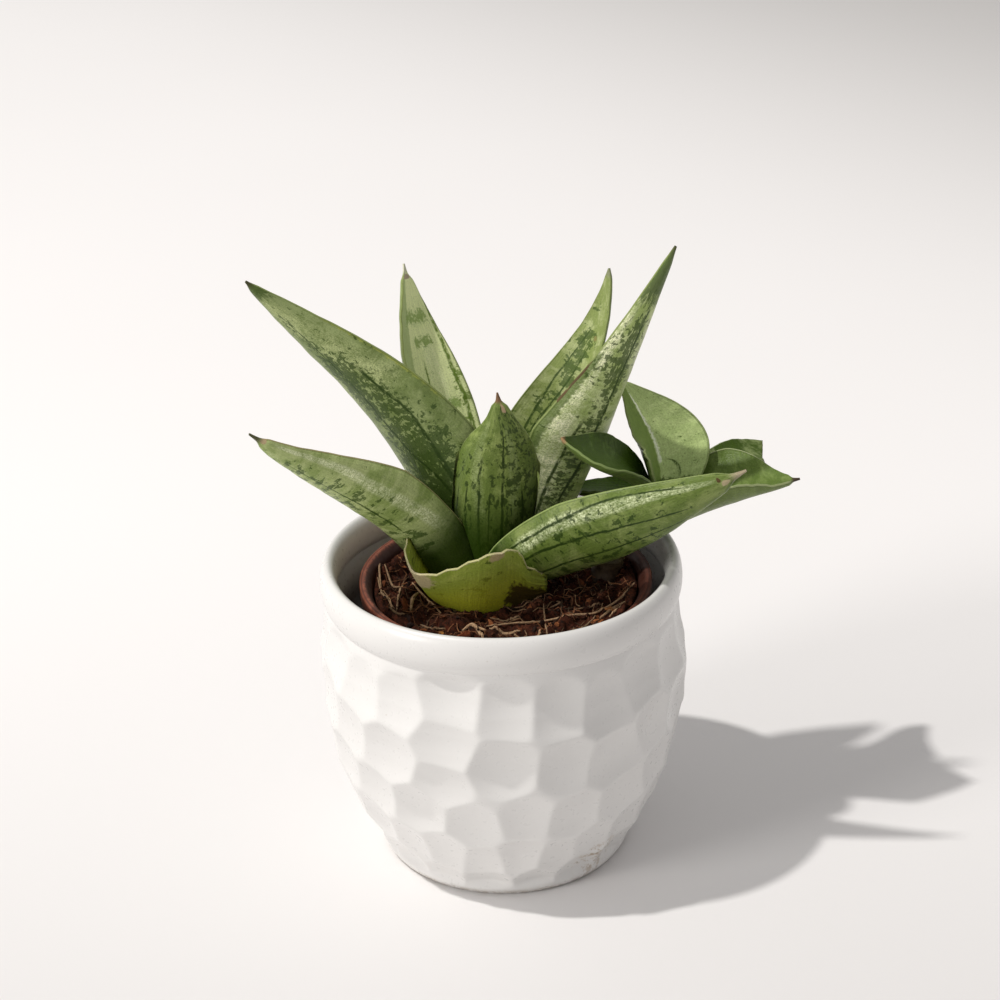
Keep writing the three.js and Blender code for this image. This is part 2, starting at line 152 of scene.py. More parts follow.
def noiseTex(tree, coord, scale, detail, roughness=0.5, distortion=0.0):
    ins = {"Vector": coord, "Scale": scale, "Detail": detail, "Roughness": roughness, "Distortion": distortion}
    return add(tree, "ShaderNodeTexNoise", ins).outputs[0]


def jitter(tree, value, tex, amount):
    return mathNode(tree, "MULTIPLY_ADD", mathNode(tree, "SUBTRACT", tex, 0.5), amount, value)


def cells(tree, coord, scale):
    return add(tree, "ShaderNodeTexVoronoi", {"Vector": coord, "Scale": scale}).outputs["Distance"]


def attribute(tree, name, output="Fac"):
    return add(tree, "ShaderNodeAttribute", {}, attribute_name=name).outputs[output]


def mapping(tree, coord, scale):
    return add(tree, "ShaderNodeMapping", {"Vector": coord, "Scale": scale}).outputs[0]


def objectCoord(tree, scale=(1, 1, 1)):
    coord = tree.nodes.new("ShaderNodeTexCoord").outputs["Object"]
    return mapping(tree, coord, tuple(1000 * v for v in scale))


def split(tree, coord):
    return tuple(add(tree, "ShaderNodeSeparateXYZ", {"Vector": coord}).outputs)


def distance(tree, coord, place):
    return add(tree, "ShaderNodeVectorMath", {0: coord, 1: place}, operation="DISTANCE").outputs["Value"]


def planReach(tree, x, y, centre=(0, 0)):
    flat = add(tree, "ShaderNodeCombineXYZ", {"X": x, "Y": y}).outputs[0]
    return distance(tree, flat, (*centre, 0))


def bumpNode(tree, height, strength, depth):
    ins = {"Height": height, "Strength": strength, "Distance": depth * milli}
    return add(tree, "ShaderNodeBump", ins)


def newMaterial(name, roughness, specular):
    mat = bpy.data.materials.new(name)
    mat.use_nodes = True
    tree = mat.node_tree
    shader = next(n for n in tree.nodes if n.type == "BSDF_PRINCIPLED")
    shader.inputs["Roughness"].default_value = roughness
    shader.inputs["Specular IOR Level"].default_value = specular
    return mat, tree, shader


def dress(tree, shader, color, bump=None, roughness=None):
    tree.links.new(color, shader.inputs["Base Color"])
    if bump:
        tree.links.new(bump.outputs[0], shader.inputs["Normal"])
    if roughness:
        tree.links.new(roughness, shader.inputs["Roughness"])


# Shared effects: each group puts out one mask
def group(name, **inputs):
    tree = bpy.data.node_groups.new(name, "ShaderNodeTree")
    for key, value in inputs.items():
        kind = "NodeSocketVector" if value is None else "NodeSocketFloat"
        socket = tree.interface.new_socket(key, in_out="INPUT", socket_type=kind)
        if value is not None:
            socket.default_value = value
    tree.interface.new_socket("Mask", in_out="OUTPUT", socket_type="NodeSocketFloat")
    return tree, tree.nodes.new("NodeGroupInput").outputs, tree.nodes.new("NodeGroupOutput").inputs["Mask"]


def use(tree, grp, **values):
    return add(tree, "ShaderNodeGroup", values, node_tree=grp).outputs["Mask"]


def makeMottle():
    tree, given, mask = group("mottle", Coord=None, Scale=1.0, Cover=0.5, Soft=0.08)
    tex = noiseTex(tree, given["Coord"], given["Scale"], 6, 0.68, 0.4)
    edge = mathNode(tree, "SUBTRACT", 1.0, given["Cover"])
    low, high = (mathNode(tree, operation, edge, given["Soft"]) for operation in ("SUBTRACT", "ADD"))
    tree.links.new(ramp(tree, tex, low, high), mask)
    return tree


def makeLine():
    tree, given, mask = group("bladeLine", U=0.0, S=0.0, Centre=0.0, Half=0.03, From=0.1, To=0.9, Coord=None)
    gap = mathNode(tree, "SUBTRACT", given["U"], given["Centre"])
    away = mathNode(tree, "ABSOLUTE", jitter(tree, gap, noiseTex(tree, given["Coord"], 0.35, 4, 0.7), 0.11))
    core = ramp(tree, mathNode(tree, "DIVIDE", away, given["Half"]), 0.35, 1.0, 1.0, 0.0)
    start = ramp(tree, mathNode(tree, "SUBTRACT", given["S"], given["From"]), -0.02, 0.05)
    end = ramp(tree, mathNode(tree, "SUBTRACT", given["To"], given["S"]), -0.01, 0.05)
    fray = ramp(tree, noiseTex(tree, given["Coord"], 1.3, 3, 0.6), 0.32, 0.5, 0.35, 1.0)
    tree.links.new(times(tree, start, end, fray, core), mask)
    return tree


def makeSpot():
    tree, given, mask = group("bladeSpot", U=0.0, S=0.0, AtU=0.0, AtS=0.5, RadiusU=0.1, RadiusS=0.03, Coord=None)
    squares = []
    for axis in ("U", "S"):
        gap = mathNode(tree, "SUBTRACT", given[axis], given["At" + axis])
        gap = mathNode(tree, "DIVIDE", gap, given["Radius" + axis])
        squares.append(times(tree, gap, gap))
    away = mathNode(tree, "SQRT", mathNode(tree, "ADD", *squares))
    away = jitter(tree, away, noiseTex(tree, given["Coord"], 0.9, 5, 0.7), 1.1)
    tree.links.new(ramp(tree, away, 0.75, 1.05, 1.0, 0.0), mask)
    return tree


def makeWash():
    tree, given, mask = group("bladeWash", U=0.0, S=0.0, FromU=-1.0, ToU=1.0, FromS=0.0, ToS=1.0)
    sides = []
    for axis, soft in (("U", 0.03), ("S", 0.012)):
        for more, less in ((axis, "From" + axis), ("To" + axis, axis)):
            sides.append(ramp(tree, mathNode(tree, "SUBTRACT", given[more], given[less]), -soft, soft))
    tree.links.new(times(tree, *sides), mask)
    return tree


mottleGroup, lineGroup, spotGroup, washGroup = makeMottle(), makeLine(), makeSpot(), makeWash()


# Stage
view = dict(distance=0.462, pitch=25.6, roll=-1.2, aim=0.0812, side=0.0001, lens=79.2, sensor=36, clip=0.01)
light = dict(
    sky=0.43, skyTone=(1.0, 0.975, 0.965), lampTone=(1.0, 0.975, 0.94), lift=0.05,
    lamps=[("key", (-1.47, -0.32, 2.83), 0.12, 61.0),  # name, place in metres, diameter, power
           ("fill", (-1.45, -0.85, 0.60), 0.55, 12.5)])
# paper: the floor's colours hold painted light, darker near the camera and towards the far right corner, as a lamp's
# pool of light would fall
paper = dict(
    half=4, drop=0.00005, nearPaintedShade=(0.69, 0.678, 0.676), farPaintedLight=(0.95, 0.936, 0.933), cornerPaintedShade=(0.56, 0.55, 0.54),
    cloud=(0.8, 0.78, 0.77))


def addLamp(name, place, size, power):
    lamp = bpy.data.lights.new(name, "AREA")
    lamp.shape, lamp.size, lamp.energy, lamp.color = "DISK", size, power, light["lampTone"]
    obj = newObject(name, lamp)
    obj.location = Vector(place) + Vector((0, 0, light["lift"]))
    obj.rotation_euler = Vector(place).to_track_quat("Z", "Y").to_euler()


def paperMaterial():
    mat, tree, shader = newMaterial("floorPaper", 0.75, 0.2)
    coord = objectCoord(tree)
    x, y, _ = split(tree, coord)
    # painted light falloff: darker towards the camera and towards the far right corner
    color = mixColor(tree, ramp(tree, y, -230, 190), paper["nearPaintedShade"], paper["farPaintedLight"])
    slant = mathNode(tree, "MULTIPLY_ADD", y, 0.75, x)
    color = mixColor(tree, ramp(tree, slant, 300, 1050), color, paper["cornerPaintedShade"])
    cloud = ramp(tree, noiseTex(tree, coord, 0.004, 2), 0.3, 0.7, 0.0, 0.06)
    dress(tree, shader, mixColor(tree, cloud, color, paper["cloud"]))
    return mat


def makeStage():
    pitch, roll = math.radians(view["pitch"]), math.radians(view["roll"])
    back, level = Vector((0, -math.cos(pitch), math.sin(pitch))), Vector((1, 0, 0))
    upright = back.cross(level)
    right = level * math.cos(roll) + upright * math.sin(roll)
    up = upright * math.cos(roll) - level * math.sin(roll)
    cam = bpy.data.cameras.new("camera")
    cam.lens, cam.sensor_width, cam.clip_start = view["lens"], view["sensor"], view["clip"]
    obj = newObject("camera", cam)
    eye = Vector((view["side"], 0, view["aim"])) + back * view["distance"]
    obj.matrix_world = Matrix.Translation(eye) @ Matrix((right, up, back)).transposed().to_4x4()
    bpy.context.scene.camera = obj

    for lamp in light["lamps"]:
        addLamp(*lamp)
    world = bpy.data.worlds.new("studio")
    bpy.context.scene.world = world
    world.use_nodes = True
    background = world.node_tree.nodes["Background"]
    background.inputs["Color"].default_value = (*light["skyTone"], 1)
    background.inputs["Strength"].default_value = light["sky"]

    mesh = bpy.data.meshes.new("floor")
    h = paper["half"]
    mesh.from_pydata([(-h, -h, 0), (h, -h, 0), (h, h, 0), (-h, h, 0)], [], [(0, 1, 2, 3)])
    mesh.materials.append(paperMaterial())
    floor = newObject("floor", mesh)
    floor.location = (0, 0, -paper["drop"])
    bpy.context.scene.view_settings.view_transform = "Standard"


makeStage()
print("stage done")


# Outer pot: foot, profile and neck are (height, radius); centres are the dimples' (angle, height) on the front half
pot = dict(
    around=470, rows=150, neckRows=9, foot=[(0, 0), (0, 26.1), (0.35, 26.9), (0.9, 27.3)], bodyFrom=1.2,
    neck=[(57.6, 37.95), (61, 37.4)], wall=4, floor=[(0, 6), (25, 6), (26.5, 7)],  # floor, throat: (radius, height)
    throat=[(35.2, 58), (35.6, 60), (35.6, 62)], rimRadius=36.7, rimHeight=64, rimWide=1.85, rimTall=4.3,
    beadSides=36, beadAround=220, innerAround=160,
    profile=[(0, 26.4), (0.9, 27.3), (4, 28.8), (8, 30.9), (12, 33), (16, 34.8), (20, 36.2), (24, 37.4), (28, 38.3),
             (32.5, 39), (37, 39.6), (41.5, 39.9), (46, 39.9), (50.5, 39.5), (55, 38.6), (57.2, 38)],
    low=2, high=57.2, depth=1.6, girth=38, scoop=0.03, crisp=7.5,
    centres=[(-81, 51), (-65, 53), (-50, 50.5), (-33.5, 51), (-17, 54), (1, 52.5), (17, 51.5), (33, 50), (49, 52.5),
             (65, 51), (82, 53), (-88, 41), (-72, 42.5), (-56, 40), (-38.5, 38.5), (-18.5, 44.5), (-0.5, 39.5),
             (19, 38.5), (36, 37), (53, 41), (70, 39.5), (-80, 31), (-63, 29.5), (-46, 27), (-20, 34), (-29, 25.5),
             (-11.7, 23.5), (6.5, 25.7), (23.4, 24.3), (41, 25), (58, 28.5), (76, 28.5), (-71, 18.5), (-53, 16),
             (-37, 13.5), (-23, 14), (-9, 11.5), (5, 13), (19, 12), (33, 14), (49, 15), (66, 17.5), (84, 18),
             (-83, 7), (-65, 6), (-47, 4), (-28, 3.5), (-8, 2.5), (12, 3), (31, 4), (51, 5), (71, 6.5), (88, 7.5)],
    tones=((0.71, 0.70, 0.685), (0.775, 0.765, 0.75)), speck=(0.34, 0.27, 0.19), grime=(0.30, 0.24, 0.17),
    paintedWallLight=(0.95, 0.865, 0.79), shade=(0.27, 0.175, 0.115), scuff=(0.36, 0.25, 0.14),
    scuffs=[((19, -21.5, 7), 8, 0.9), ((31.2, -24.5, 42), 2.2, 0.35), ((-24, 30, 12), 5, 0.4)])


def scatter(number):
    v = math.sin(number * 12.9898 + 156.466) * 43758.5453
    return v - math.floor(v)


def wallRadius(z):
    zs, rs = zip(*pot["profile"])
    return np.interp(z, zs, rs)


def dimpleDepth(arc, z):
    low, high, crisp, around = pot["low"], pot["high"], pot["crisp"], 2 * math.pi * pot["girth"]
    total = np.zeros_like(arc)
    for back in (0, 180):
        for number, (angle, height) in enumerate(pot["centres"]):
            deep = pot["depth"] * (0.8 + 0.4 * scatter(number))
            gap = (arc - math.radians(angle + back - 90) * pot["girth"]) / around
            gap = (gap - np.round(gap)) * around
            total += np.exp(crisp * (deep - pot["scoop"] * (gap ** 2 + (z - height) ** 2)))
    depth = np.log(total + 1) / crisp
    return depth * smoothstep(z, low - 0.5, low + 2.5) * (1 - smoothstep(z, high + 0.8, high + 3.4))


def makeOuterPot(material):
    body = np.linspace(pot["bodyFrom"], pot["high"], pot["rows"])
    body = np.stack((body, wallRadius(body)), 1)
    heights, base = np.concatenate((pot["foot"], body, np.linspace(*pot["neck"], pot["neckRows"]))).T
    turn = np.linspace(0, 2 * math.pi, pot["around"], endpoint=False)
    arc, z = np.meshgrid(turn * pot["girth"], heights, indexing="ij")
    r = base[None, :] - dimpleDepth(arc, z)
    angle = arc / pot["girth"]
    points = np.stack((r * np.cos(angle), r * np.sin(angle), z), -1).reshape(-1, 3)
    mesh = meshFrom("outer_pot_glazed", points, turnedFaces(pot["around"], len(heights)))
    bead = [(pot["rimRadius"] + pot["rimWide"] * math.cos(a), pot["rimHeight"] + pot["rimTall"] * math.sin(a))
            for a in np.linspace(0, 2 * math.pi, pot["beadSides"], endpoint=False)]
    inner = pot["floor"] + [(r - pot["wall"], z) for z, r in pot["profile"] if 10 < z < 56] + pot["throat"]
    slump = lambda a, z: (0.10 * math.sin(2 * a + 1) + 0.05 * math.sin(5 * a), 0.10 * math.sin(3 * a))
    bead = latheMesh("bead", bead, pot["beadAround"], closed=True, wobble=slump)
    weld(mesh, (bead, latheMesh("inner", inner, pot["innerAround"])), 0.03)
    return link("outer_pot_glazed", mesh, material, ["outer_pot"])


def glazeMaterial():
    mat, tree, shader = newMaterial("whiteGlaze", 0.3, 0.5)
    coord = objectCoord(tree)
    x, y, z = split(tree, coord)
    reach = planReach(tree, x, y)
    color = mixColor(tree, noiseTex(tree, coord, 0.05, 4), *pot["tones"])
    color = mixColor(tree, ramp(tree, cells(tree, coord, 0.22), 0.03, 0.055, 0.22, 0.0), color, pot["speck"])
    # darker towards the foot, in blotches; the same blotches also shape the scuffs
    grime = noiseTex(tree, coord, 0.55, 6, 0.75)
    foot = times(tree, ramp(tree, z, 0.2, 2.2, 0.75, 0.0), ramp(tree, grime, 0.35, 0.6))
    color = mixColor(tree, foot, color, pot["grime"])
    # painted light: the inner wall below the rim is made lighter and warmer at the left, where light falls on it
    paintedLightMask = times(tree, ramp(tree, reach, 34.9, 36.3, 0.85, 0.0), ramp(tree, z, 51, 57),
                  ramp(tree, x, -5, 20, 1.0, 0.0))
    color = mixColor(tree, paintedLightMask, color, pot["paintedWallLight"])
    inside = times(tree, ramp(tree, reach, 34.9, 36.2, 1.0, 0.0), ramp(tree, z, 51, 62, 0.75, 0.05),
                   ramp(tree, z, 44, 50), ramp(tree, x, -5, 20, 1.0, 0.15))
    color = mixColor(tree, inside, color, pot["shade"])
    for place, size, amount in pot["scuffs"]:
        patch = ramp(tree, distance(tree, coord, place), size * 0.2, size, amount, 0.0)
        color = mixColor(tree, times(tree, patch, ramp(tree, grime, 0.49, 0.60)), color, pot["scuff"])
    fine = noiseTex(tree, coord, 0.9, 3)
    dress(tree, shader, color, bumpNode(tree, fine, 0.06, 0.05), ramp(tree, fine, 0.3, 0.7, 0.27, 0.34))
    return mat


makeOuterPot(glazeMaterial())
print("outer pot done")


# Nursery pot
nursery = dict(
    centre=(0.9, 0.5), low=6.3, top=63, rim=31.3, lip=3.2, body=29.6, base=21, wall=1, floor=1.2, holes=4, hole=3,
    circle=13, segments=180, tones=((0.22, 0.058, 0.030), (0.38, 0.13, 0.08)), dust=(0.035, 0.014, 0.008),
    spill=(0.045, 0.017, 0.010), line=(0.06, 0.02, 0.012), dark=(0.05, 0.014, 0.008))


def nurseryMaterial():
    mat, tree, shader = newMaterial("nurseryPlastic", 0.5, 0.4)
    coord = objectCoord(tree)
    x, y, z = split(tree, coord)
    fade, dust = noiseTex(tree, coord, 0.35, 6, 0.7), noiseTex(tree, coord, 1.4, 5, 0.8)
    reach = planReach(tree, x, y, nursery["centre"])
    spill = mathNode(tree, "MULTIPLY_ADD", dust, 2.4, reach)
    line = mathNode(tree, "ABSOLUTE", mathNode(tree, "SUBTRACT", reach, 30.75))
    color = mixColor(tree, ramp(tree, fade, 0.35, 0.7), *nursery["tones"])
    # painted shade: below the rim top the plastic is darkened, partly as potting mix stain and partly as painted
    # shade in the gap; its right side is darkened as painted shadow
    for tone, value, low, high, atLow, atHigh in (
            ("dust", dust, 0.56, 0.68, 0.0, 0.8), ("spill", spill, 30.9, 31.6, 0.9, 0.0),
            ("line", line, 0.08, 0.26, 0.7, 0.0), ("dark", z, 61.9, 62.8, 0.85, 0.0), ("dark", x, 20, 28, 0.0, 0.75)):
        color = mixColor(tree, ramp(tree, value, low, high, atLow, atHigh), color, nursery[tone])
    rings = noiseTex(tree, objectCoord(tree, (0.3, 0.3, 3)), 0.6, 3)
    dress(tree, shader, color, bumpNode(tree, rings, 0.4, 0.15), ramp(tree, fade, 0.3, 0.7, 0.38, 0.68))
    return mat


def makeNurseryPot():
    low, top, rim, base, centre = (nursery[key] for key in ("low", "top", "rim", "base", "centre"))
    under, inner, floor = top - nursery["lip"], nursery["body"] - nursery["wall"], low + nursery["floor"]
    neck = base + (nursery["body"] - base) * (under - low) / (top - low)
    profile = [(0, low), (base - 0.6, low), (base, low + 0.5), (neck, under), (rim - 0.2, under), (rim, under + 0.4)]
    profile += [(rim - r, top - z) for r, z in ((0, 0.5), (0.2, 0.12), (0.5, 0), (1.1, 0), (1.45, 0.25))]
    profile += [(inner + r, top - z) for r, z in ((0.75, 1.0), (0.2, 1.9), (0, 2.8))]
    profile += [(base - 1, floor), (0, floor)]
    sway = lambda a, z: ((0.12 * math.sin(3 * a + 0.6) + 0.06 * math.sin(7 * a)) * smoothstep(z, 40, 60), 0)
    mesh = latheMesh("nursery_pot_shell", profile, nursery["segments"], centre, wobble=sway)
    weld(mesh, (), 0.02)
    shell = link("nursery_pot_shell", mesh, nurseryMaterial(), ["nursery_pot"])
    drill = bmesh.new()
    hole = nursery["hole"] * milli
    for i in range(nursery["holes"]):
        spot = Vector((*onCircle(centre, nursery["circle"], (i + 0.5) * 2 * math.pi / nursery["holes"]), low)) * milli
        bmesh.ops.create_cone(drill, cap_ends=True, segments=32, radius1=hole, radius2=hole, depth=6 * milli,
                              matrix=Matrix.Translation(spot))
    cutBy(shell, [drill])
    return shell


def cutBy(obj, cutters):
    for cutter in cutters:
        mesh = bpy.data.meshes.new("cutter")
        cutter.to_mesh(mesh)
        cutter.free()
        tool = newObject("cutter", mesh)
        mod = obj.modifiers.new("cut", "BOOLEAN")
        mod.object, mod.operation, mod.solver = tool, "DIFFERENCE", "MANIFOLD"
        done = bpy.data.meshes.new_from_object(obj.evaluated_get(bpy.context.evaluated_depsgraph_get()))
        obj.modifiers.remove(mod)
        if len(done.polygons) > 10:
            obj.data = done
        bpy.data.objects.remove(tool)
        bpy.data.meshes.remove(mesh)


makeNurseryPot()
print("nursery pot done")


# Leaves: curve is the midrib's four Bezier points; heading, turn and cup are in degrees; front: blades that press in
leaves = {
    "leaf_left_tall": dict(
        curve=((-6, 3.4, 57.5), (-10.5, 3.3, 100.3), (-34.3, 2.2, 113.8), (-49.4, -3.7, 132.4)), heading=182,
        turn=(52.5, 61.5), width=27.2, rootShare=0.4, widest=0.23, taper=1.2, cup=(77, 36.5, 22), thick=2.4,
        awn=0.985, front=("leaf_left_low", "leaf_front_centre")),
    "leaf_left_low": dict(
        curve=((-8.5, 0.5, 57.5), (-20, -2.5, 86.6), (-34, -13, 90.6), (-49, -20, 106.5)), heading=197,
        turn=(50, 62), width=18, rootShare=0.9, widest=0.45, taper=1.05, cup=(64, 52, 15), thick=2.4, awn=0.955,
        front=("leaf_front_torn", "leaf_right_low")),
    "leaf_back_left": dict(
        curve=((-4, 8, 57.5), (-14, 12, 100), (-17.5, 20, 106), (-19, 24, 125.5)), heading=125, turn=(0, 25),
        width=18, rootShare=0.65, widest=0.4, taper=1.65, cup=(60, 43, 22), thick=2.2, awn=0.955,
        front=("leaf_left_tall",)),
    "leaf_back_right": dict(
        curve=((3, 8.5, 57.5), (1, 13, 87.5), (23.5, 20, 101), (24, 24, 123.5)), heading=50, turn=(8, -24), width=20,
        rootShare=0.6, widest=0.36, taper=1.4, cup=(60, 45, 18), thick=2.2,
        front=("leaf_right_low", "leaf_right_tall", "leaf_back_left")),
    "leaf_right_tall": dict(
        curve=((6, 4, 57.5), (18, 5, 95), (16.5, 7, 88), (36.5, 6, 134.5)), heading=5, turn=(-38, -52), width=27,
        rootShare=0.55, widest=0.5, taper=1.1, cup=(67, 47, 24), thick=2.4,
        front=("leaf_right_low", "leaf_front_centre")),
    "leaf_front_centre": dict(
        curve=((-1.5, -0.5, 57.5), (-1.3, -4.8, 102.5), (2, -9, 93.3), (0, -9.5, 109.7)), heading=-90, turn=(2, -10),
        width=21, rootShare=0.55, widest=0.22, taper=1.3, cup=(70, 56, 15), thick=2, awn=0.95,
        front=("leaf_right_low", "leaf_left_low")),
    "leaf_right_low": dict(
        curve=((4.5, 2.5, 58), (-1.5, -3.6, 65.9), (20.4, -15.4, 77), (49.4, -18.3, 95.5)), heading=-12,
        turn=(-39.5, -76.3), width=22.7, rootShare=0.47, widest=0.57, taper=1.47, cup=(60, 46, 31), thick=2.4,
        awn=0.962, front=("leaf_front_torn",)),
    "leaf_front_torn": dict(
        foot=58.5, bow=0.6, thick=2,
        base=((-12, 3), (-13.6, 0), (-13.6, -3), (-11.8, -5.6), (-8.8, -7.7), (-5.2, -8.6), (-1.5, -7.9),
              (2.5, -6.2), (6.2, -4), (9.2, -1)),
        rim=((-19.5, -4, 75.7), (-20.1, -8, 73.5), (-18.5, -10.5, 69.8), (-14.7, -12.5, 70.1), (-9.4, -15, 72.7),
             (-4.2, -16.5, 75.6), (-0.1, -16, 77.1), (2.8, -14, 76.5), (6, -11.5, 70.9), (9.6, -8, 67.6))),
    "offset_leaf_inner": dict(
        curve=((32.5, 6, 77), (28.2, 0, 91.2), (21, -5, 89.8), (13, -7, 98.4)), heading=200, turn=(-7, -16),
        width=14.5, rootShare=0.55, widest=0.5, taper=2, cup=(49, 46, 25), thick=1.8),
    "offset_leaf_folded": dict(
        curve=((35.5, 9, 74.5), (34.5, 13, 88), (35, 17, 85.5), (26.5, 16, 101)), heading=105, turn=(27, 23),
        width=22, rootShare=0.42, widest=0.42, taper=1.8, cup=(52, 48, 26), keel=0.42, thick=1.8),
    "offset_leaf_cut": dict(
        curve=((37, 12, 74.5), (55, 18, 83), (53, 23, 77.5), (64.4, 26, 80.5)), heading=40, turn=(-10, 2), width=14,
        rootShare=0.55, widest=0.55, taper=2.2, cup=(49, 46, 30), thick=1.8,
        front=("offset_leaf_folded", "offset_leaf_outer"),
        cut=((-1, 0.5), (-0.66, 0.58), (-0.33, 0.68), (0, 0.76), (0.33, 0.81), (0.66, 0.84), (1, 0.86))),
    "offset_leaf_outer": dict(
        curve=((26.5, 7, 67), (54, 7, 84), (51.5, 5, 79), (63.5, 4, 83)), heading=-3, turn=(-3, -4), width=24,
        rootShare=0.5, widest=0.45, taper=1.2, cup=(70, 56, 34), thick=2, awn=0.95, front=("offset_leaf_folded",)),
    "offset_leaf_left": dict(
        curve=((30, 10.5, 71), (35.5, 11, 75), (24, 12, 78.5), (13, 13, 77)), heading=175, turn=(6, 6), width=11.5,
        rootShare=0.55, widest=0.5, taper=1.9, cup=(50, 43, 25), thick=1.8,
        front=("leaf_right_tall", "offset_leaf_outer")),
}
blade = dict(stations=110, across=34, cutStations=50, cutAcross=18, gap=0.3)


def unit(v):
    return v / np.linalg.norm(v, axis=-1, keepdims=True)


def stubFrame(leaf, s, u, fine):
    k = (u + 1) / 2 * (len(leaf["rim"]) - 1)
    if fine:
        s = s + s ** 6 * 0.022 * (np.sin(u * 31 + 1) + np.sin(u * 67) + 0.7 * np.sin(u * 131 + 2))
    t = s[..., None]
    base = [(x, y, leaf["foot"]) for x, y in leaf["base"]]
    at = lambda j: splineAt(base, j) * (1 - t) + splineAt(leaf["rim"], j) * t
    sideways = unit(at(k + 0.05) - at(k - 0.05))
    outward = unit(np.cross(splineAt(leaf["rim"], k) - splineAt(base, k), sideways))
    edge, thinning = (0.28, 0.88) if fine else (0.7, 0.6)
    thick = edge + (leaf["thick"] - edge) * (1 - u * u) ** 0.8 * (1 - thinning * s)
    return at(k) + outward * (thick - leaf["bow"] * 4 * s * (1 - s))[..., None], outward, sideways, thick, s


def bladeFrame(leaf, s, u, fine):
    share = s * np.interp(u, *zip(*leaf["cut"])) if "cut" in leaf else s
    c = [np.array(p, float) for p in leaf["curve"]]
    t = share[..., None]
    middle = c[0] * (1 - t) ** 3 + 3 * c[1] * t * (1 - t) ** 2 + 3 * c[2] * t * t * (1 - t) + c[3] * t ** 3
    along = unit((c[1] - c[0]) * (1 - t) ** 2 + 2 * (c[2] - c[1]) * t * (1 - t) + (c[3] - c[2]) * t * t)
    heading = math.radians(leaf["heading"])
    level = np.array([-math.sin(heading), math.cos(heading), 0])
    up0 = unit(np.cross(along, level))
    wide0 = np.cross(up0, along)
    turn = np.radians(leaf["turn"][0] + (leaf["turn"][1] - leaf["turn"][0]) * t)
    wide, up = wide0 * np.cos(turn) + up0 * np.sin(turn), up0 * np.cos(turn) - wide0 * np.sin(turn)
    w, root = leaf["widest"], leaf["rootShare"]
    outline = np.where(share < w, root + (1 - root) * np.sin(0.5 * np.pi * np.clip(share / w, 0, 1)),
                       1 - np.clip((share - w) / (1 - w), 0, 1) ** leaf["taper"])
    half = 0.5 * leaf["width"] * outline + 0.35
    point = np.zeros_like(share)
    if fine:
        awn = leaf.get("awn", 0.99)
        point = smoothstep(share, awn - 0.02, awn + 0.015)
        half = half * (1 - 0.55 * point) - 0.12 * smoothstep(share, awn, 1)
    cup = np.radians(np.interp(share, (0, 0.5, 1), leaf["cup"]))
    keel = leaf.get("keel", 1)
    au = np.abs(u)
    x, y, steps = np.zeros_like(share), np.zeros_like(share), 12
    for i in range(steps):
        bend = cup * ((i + 0.5) / steps * au) ** keel
        x += np.cos(bend) * half * au / steps
        y += np.sin(bend) * half * au / steps
    lean = (cup * au ** keel * np.sign(u))[..., None]
    outward = up * np.cos(lean) - wide * np.sin(lean)
    sideways = wide * np.cos(lean) + up * np.sin(lean)
    mid = leaf["thick"] * (0.35 + 0.65 * np.minimum(1, half / (0.5 * leaf["width"])))
    edge = 0.42 if fine else 0.7
    thick = (edge + np.maximum(0, mid - edge) * (1 - u * u) ** 0.8) * (1 - 0.35 * point)
    return middle + wide * (np.sign(u) * x)[..., None] + up * y[..., None], outward, sideways, thick, share


def bladePoints(leaf, s, u, lower, edge, grow, fine):
    shape = stubFrame if "rim" in leaf else bladeFrame
    place, outward, sideways, thick, share = shape(leaf, s, u, fine)
    level = np.where(lower == 1, -thick - grow, np.where(lower == 0, grow, -0.5 * thick))
    if fine:
        seed = leaf["thick"] * 31 + leaf.get("heading", 0)
        ripple = np.sin(s * 17 + seed) + 0.6 * np.sin(s * 39 + 2 * seed + u) + 0.35 * np.sin(s * 83 + u * 3 + seed)
        level = level + 0.15 * np.abs(u) ** 3 * ripple * smoothstep(s, 0, 0.25) * (1 - smoothstep(share, 0.85, 0.97))
    push = np.sign(u) * (grow * np.abs(u) ** 4 + 0.12 * edge)
    return place + outward * level[..., None] + sideways * push[..., None], share


def bladeGrid(leaf, stations, across, grow=0.0, fine=True):
    line = np.linspace(-1, 1, across + 1)
    if fine:
        line = np.sin(line * np.pi / 2)
    ring = [(u, 0, 0) for u in line] + [(1, 0.5, 1)] + [(u, 1, 0) for u in line[::-1]] + [(-1, 0.5, 1)]
    u, lower, edge = (np.array(v, float)[None, :] for v in zip(*ring))
    s = (np.linspace(0, 1, stations) ** 0.9)[:, None]
    s, u, lower, edge = np.broadcast_arrays(s, u, lower, edge)
    points, share = bladePoints(leaf, s, u, lower, edge, grow, fine)
    values = {"u": u, "share": share, "inner": 1 - lower, "end": s}
    return points.reshape(-1, 3), sleeveFaces(stations, len(ring)), {k: v.reshape(-1) for k, v in values.items()}


def toBmesh(points, faces):
    bm = bmesh.new()
    verts = [bm.verts.new(tuple(p * milli)) for p in points]
    for f in faces:
        bm.faces.new([verts[i] for i in f])
    bmesh.ops.triangulate(bm, faces=[f for f in bm.faces if len(f.verts) > 4])
    bmesh.ops.recalc_face_normals(bm, faces=bm.faces)
    return bm


def biggestIsland(mesh):
    bm = bmesh.new()
    bm.from_mesh(mesh)
    seen, islands = set(), []
    for v in bm.verts:
        if v in seen:
            continue
        island, queue = [], [v]
        seen.add(v)
        while queue:
            a = queue.pop()
            island.append(a)
            for e in a.link_edges:
                b = e.other_vert(a)
                if b not in seen:
                    seen.add(b)
                    queue.append(b)
        islands.append(island)
    islands.sort(key=len)
    bmesh.ops.delete(bm, geom=[v for island in islands[:-1] for v in island], context="VERTS")
    bm.to_mesh(mesh)
    bm.free()


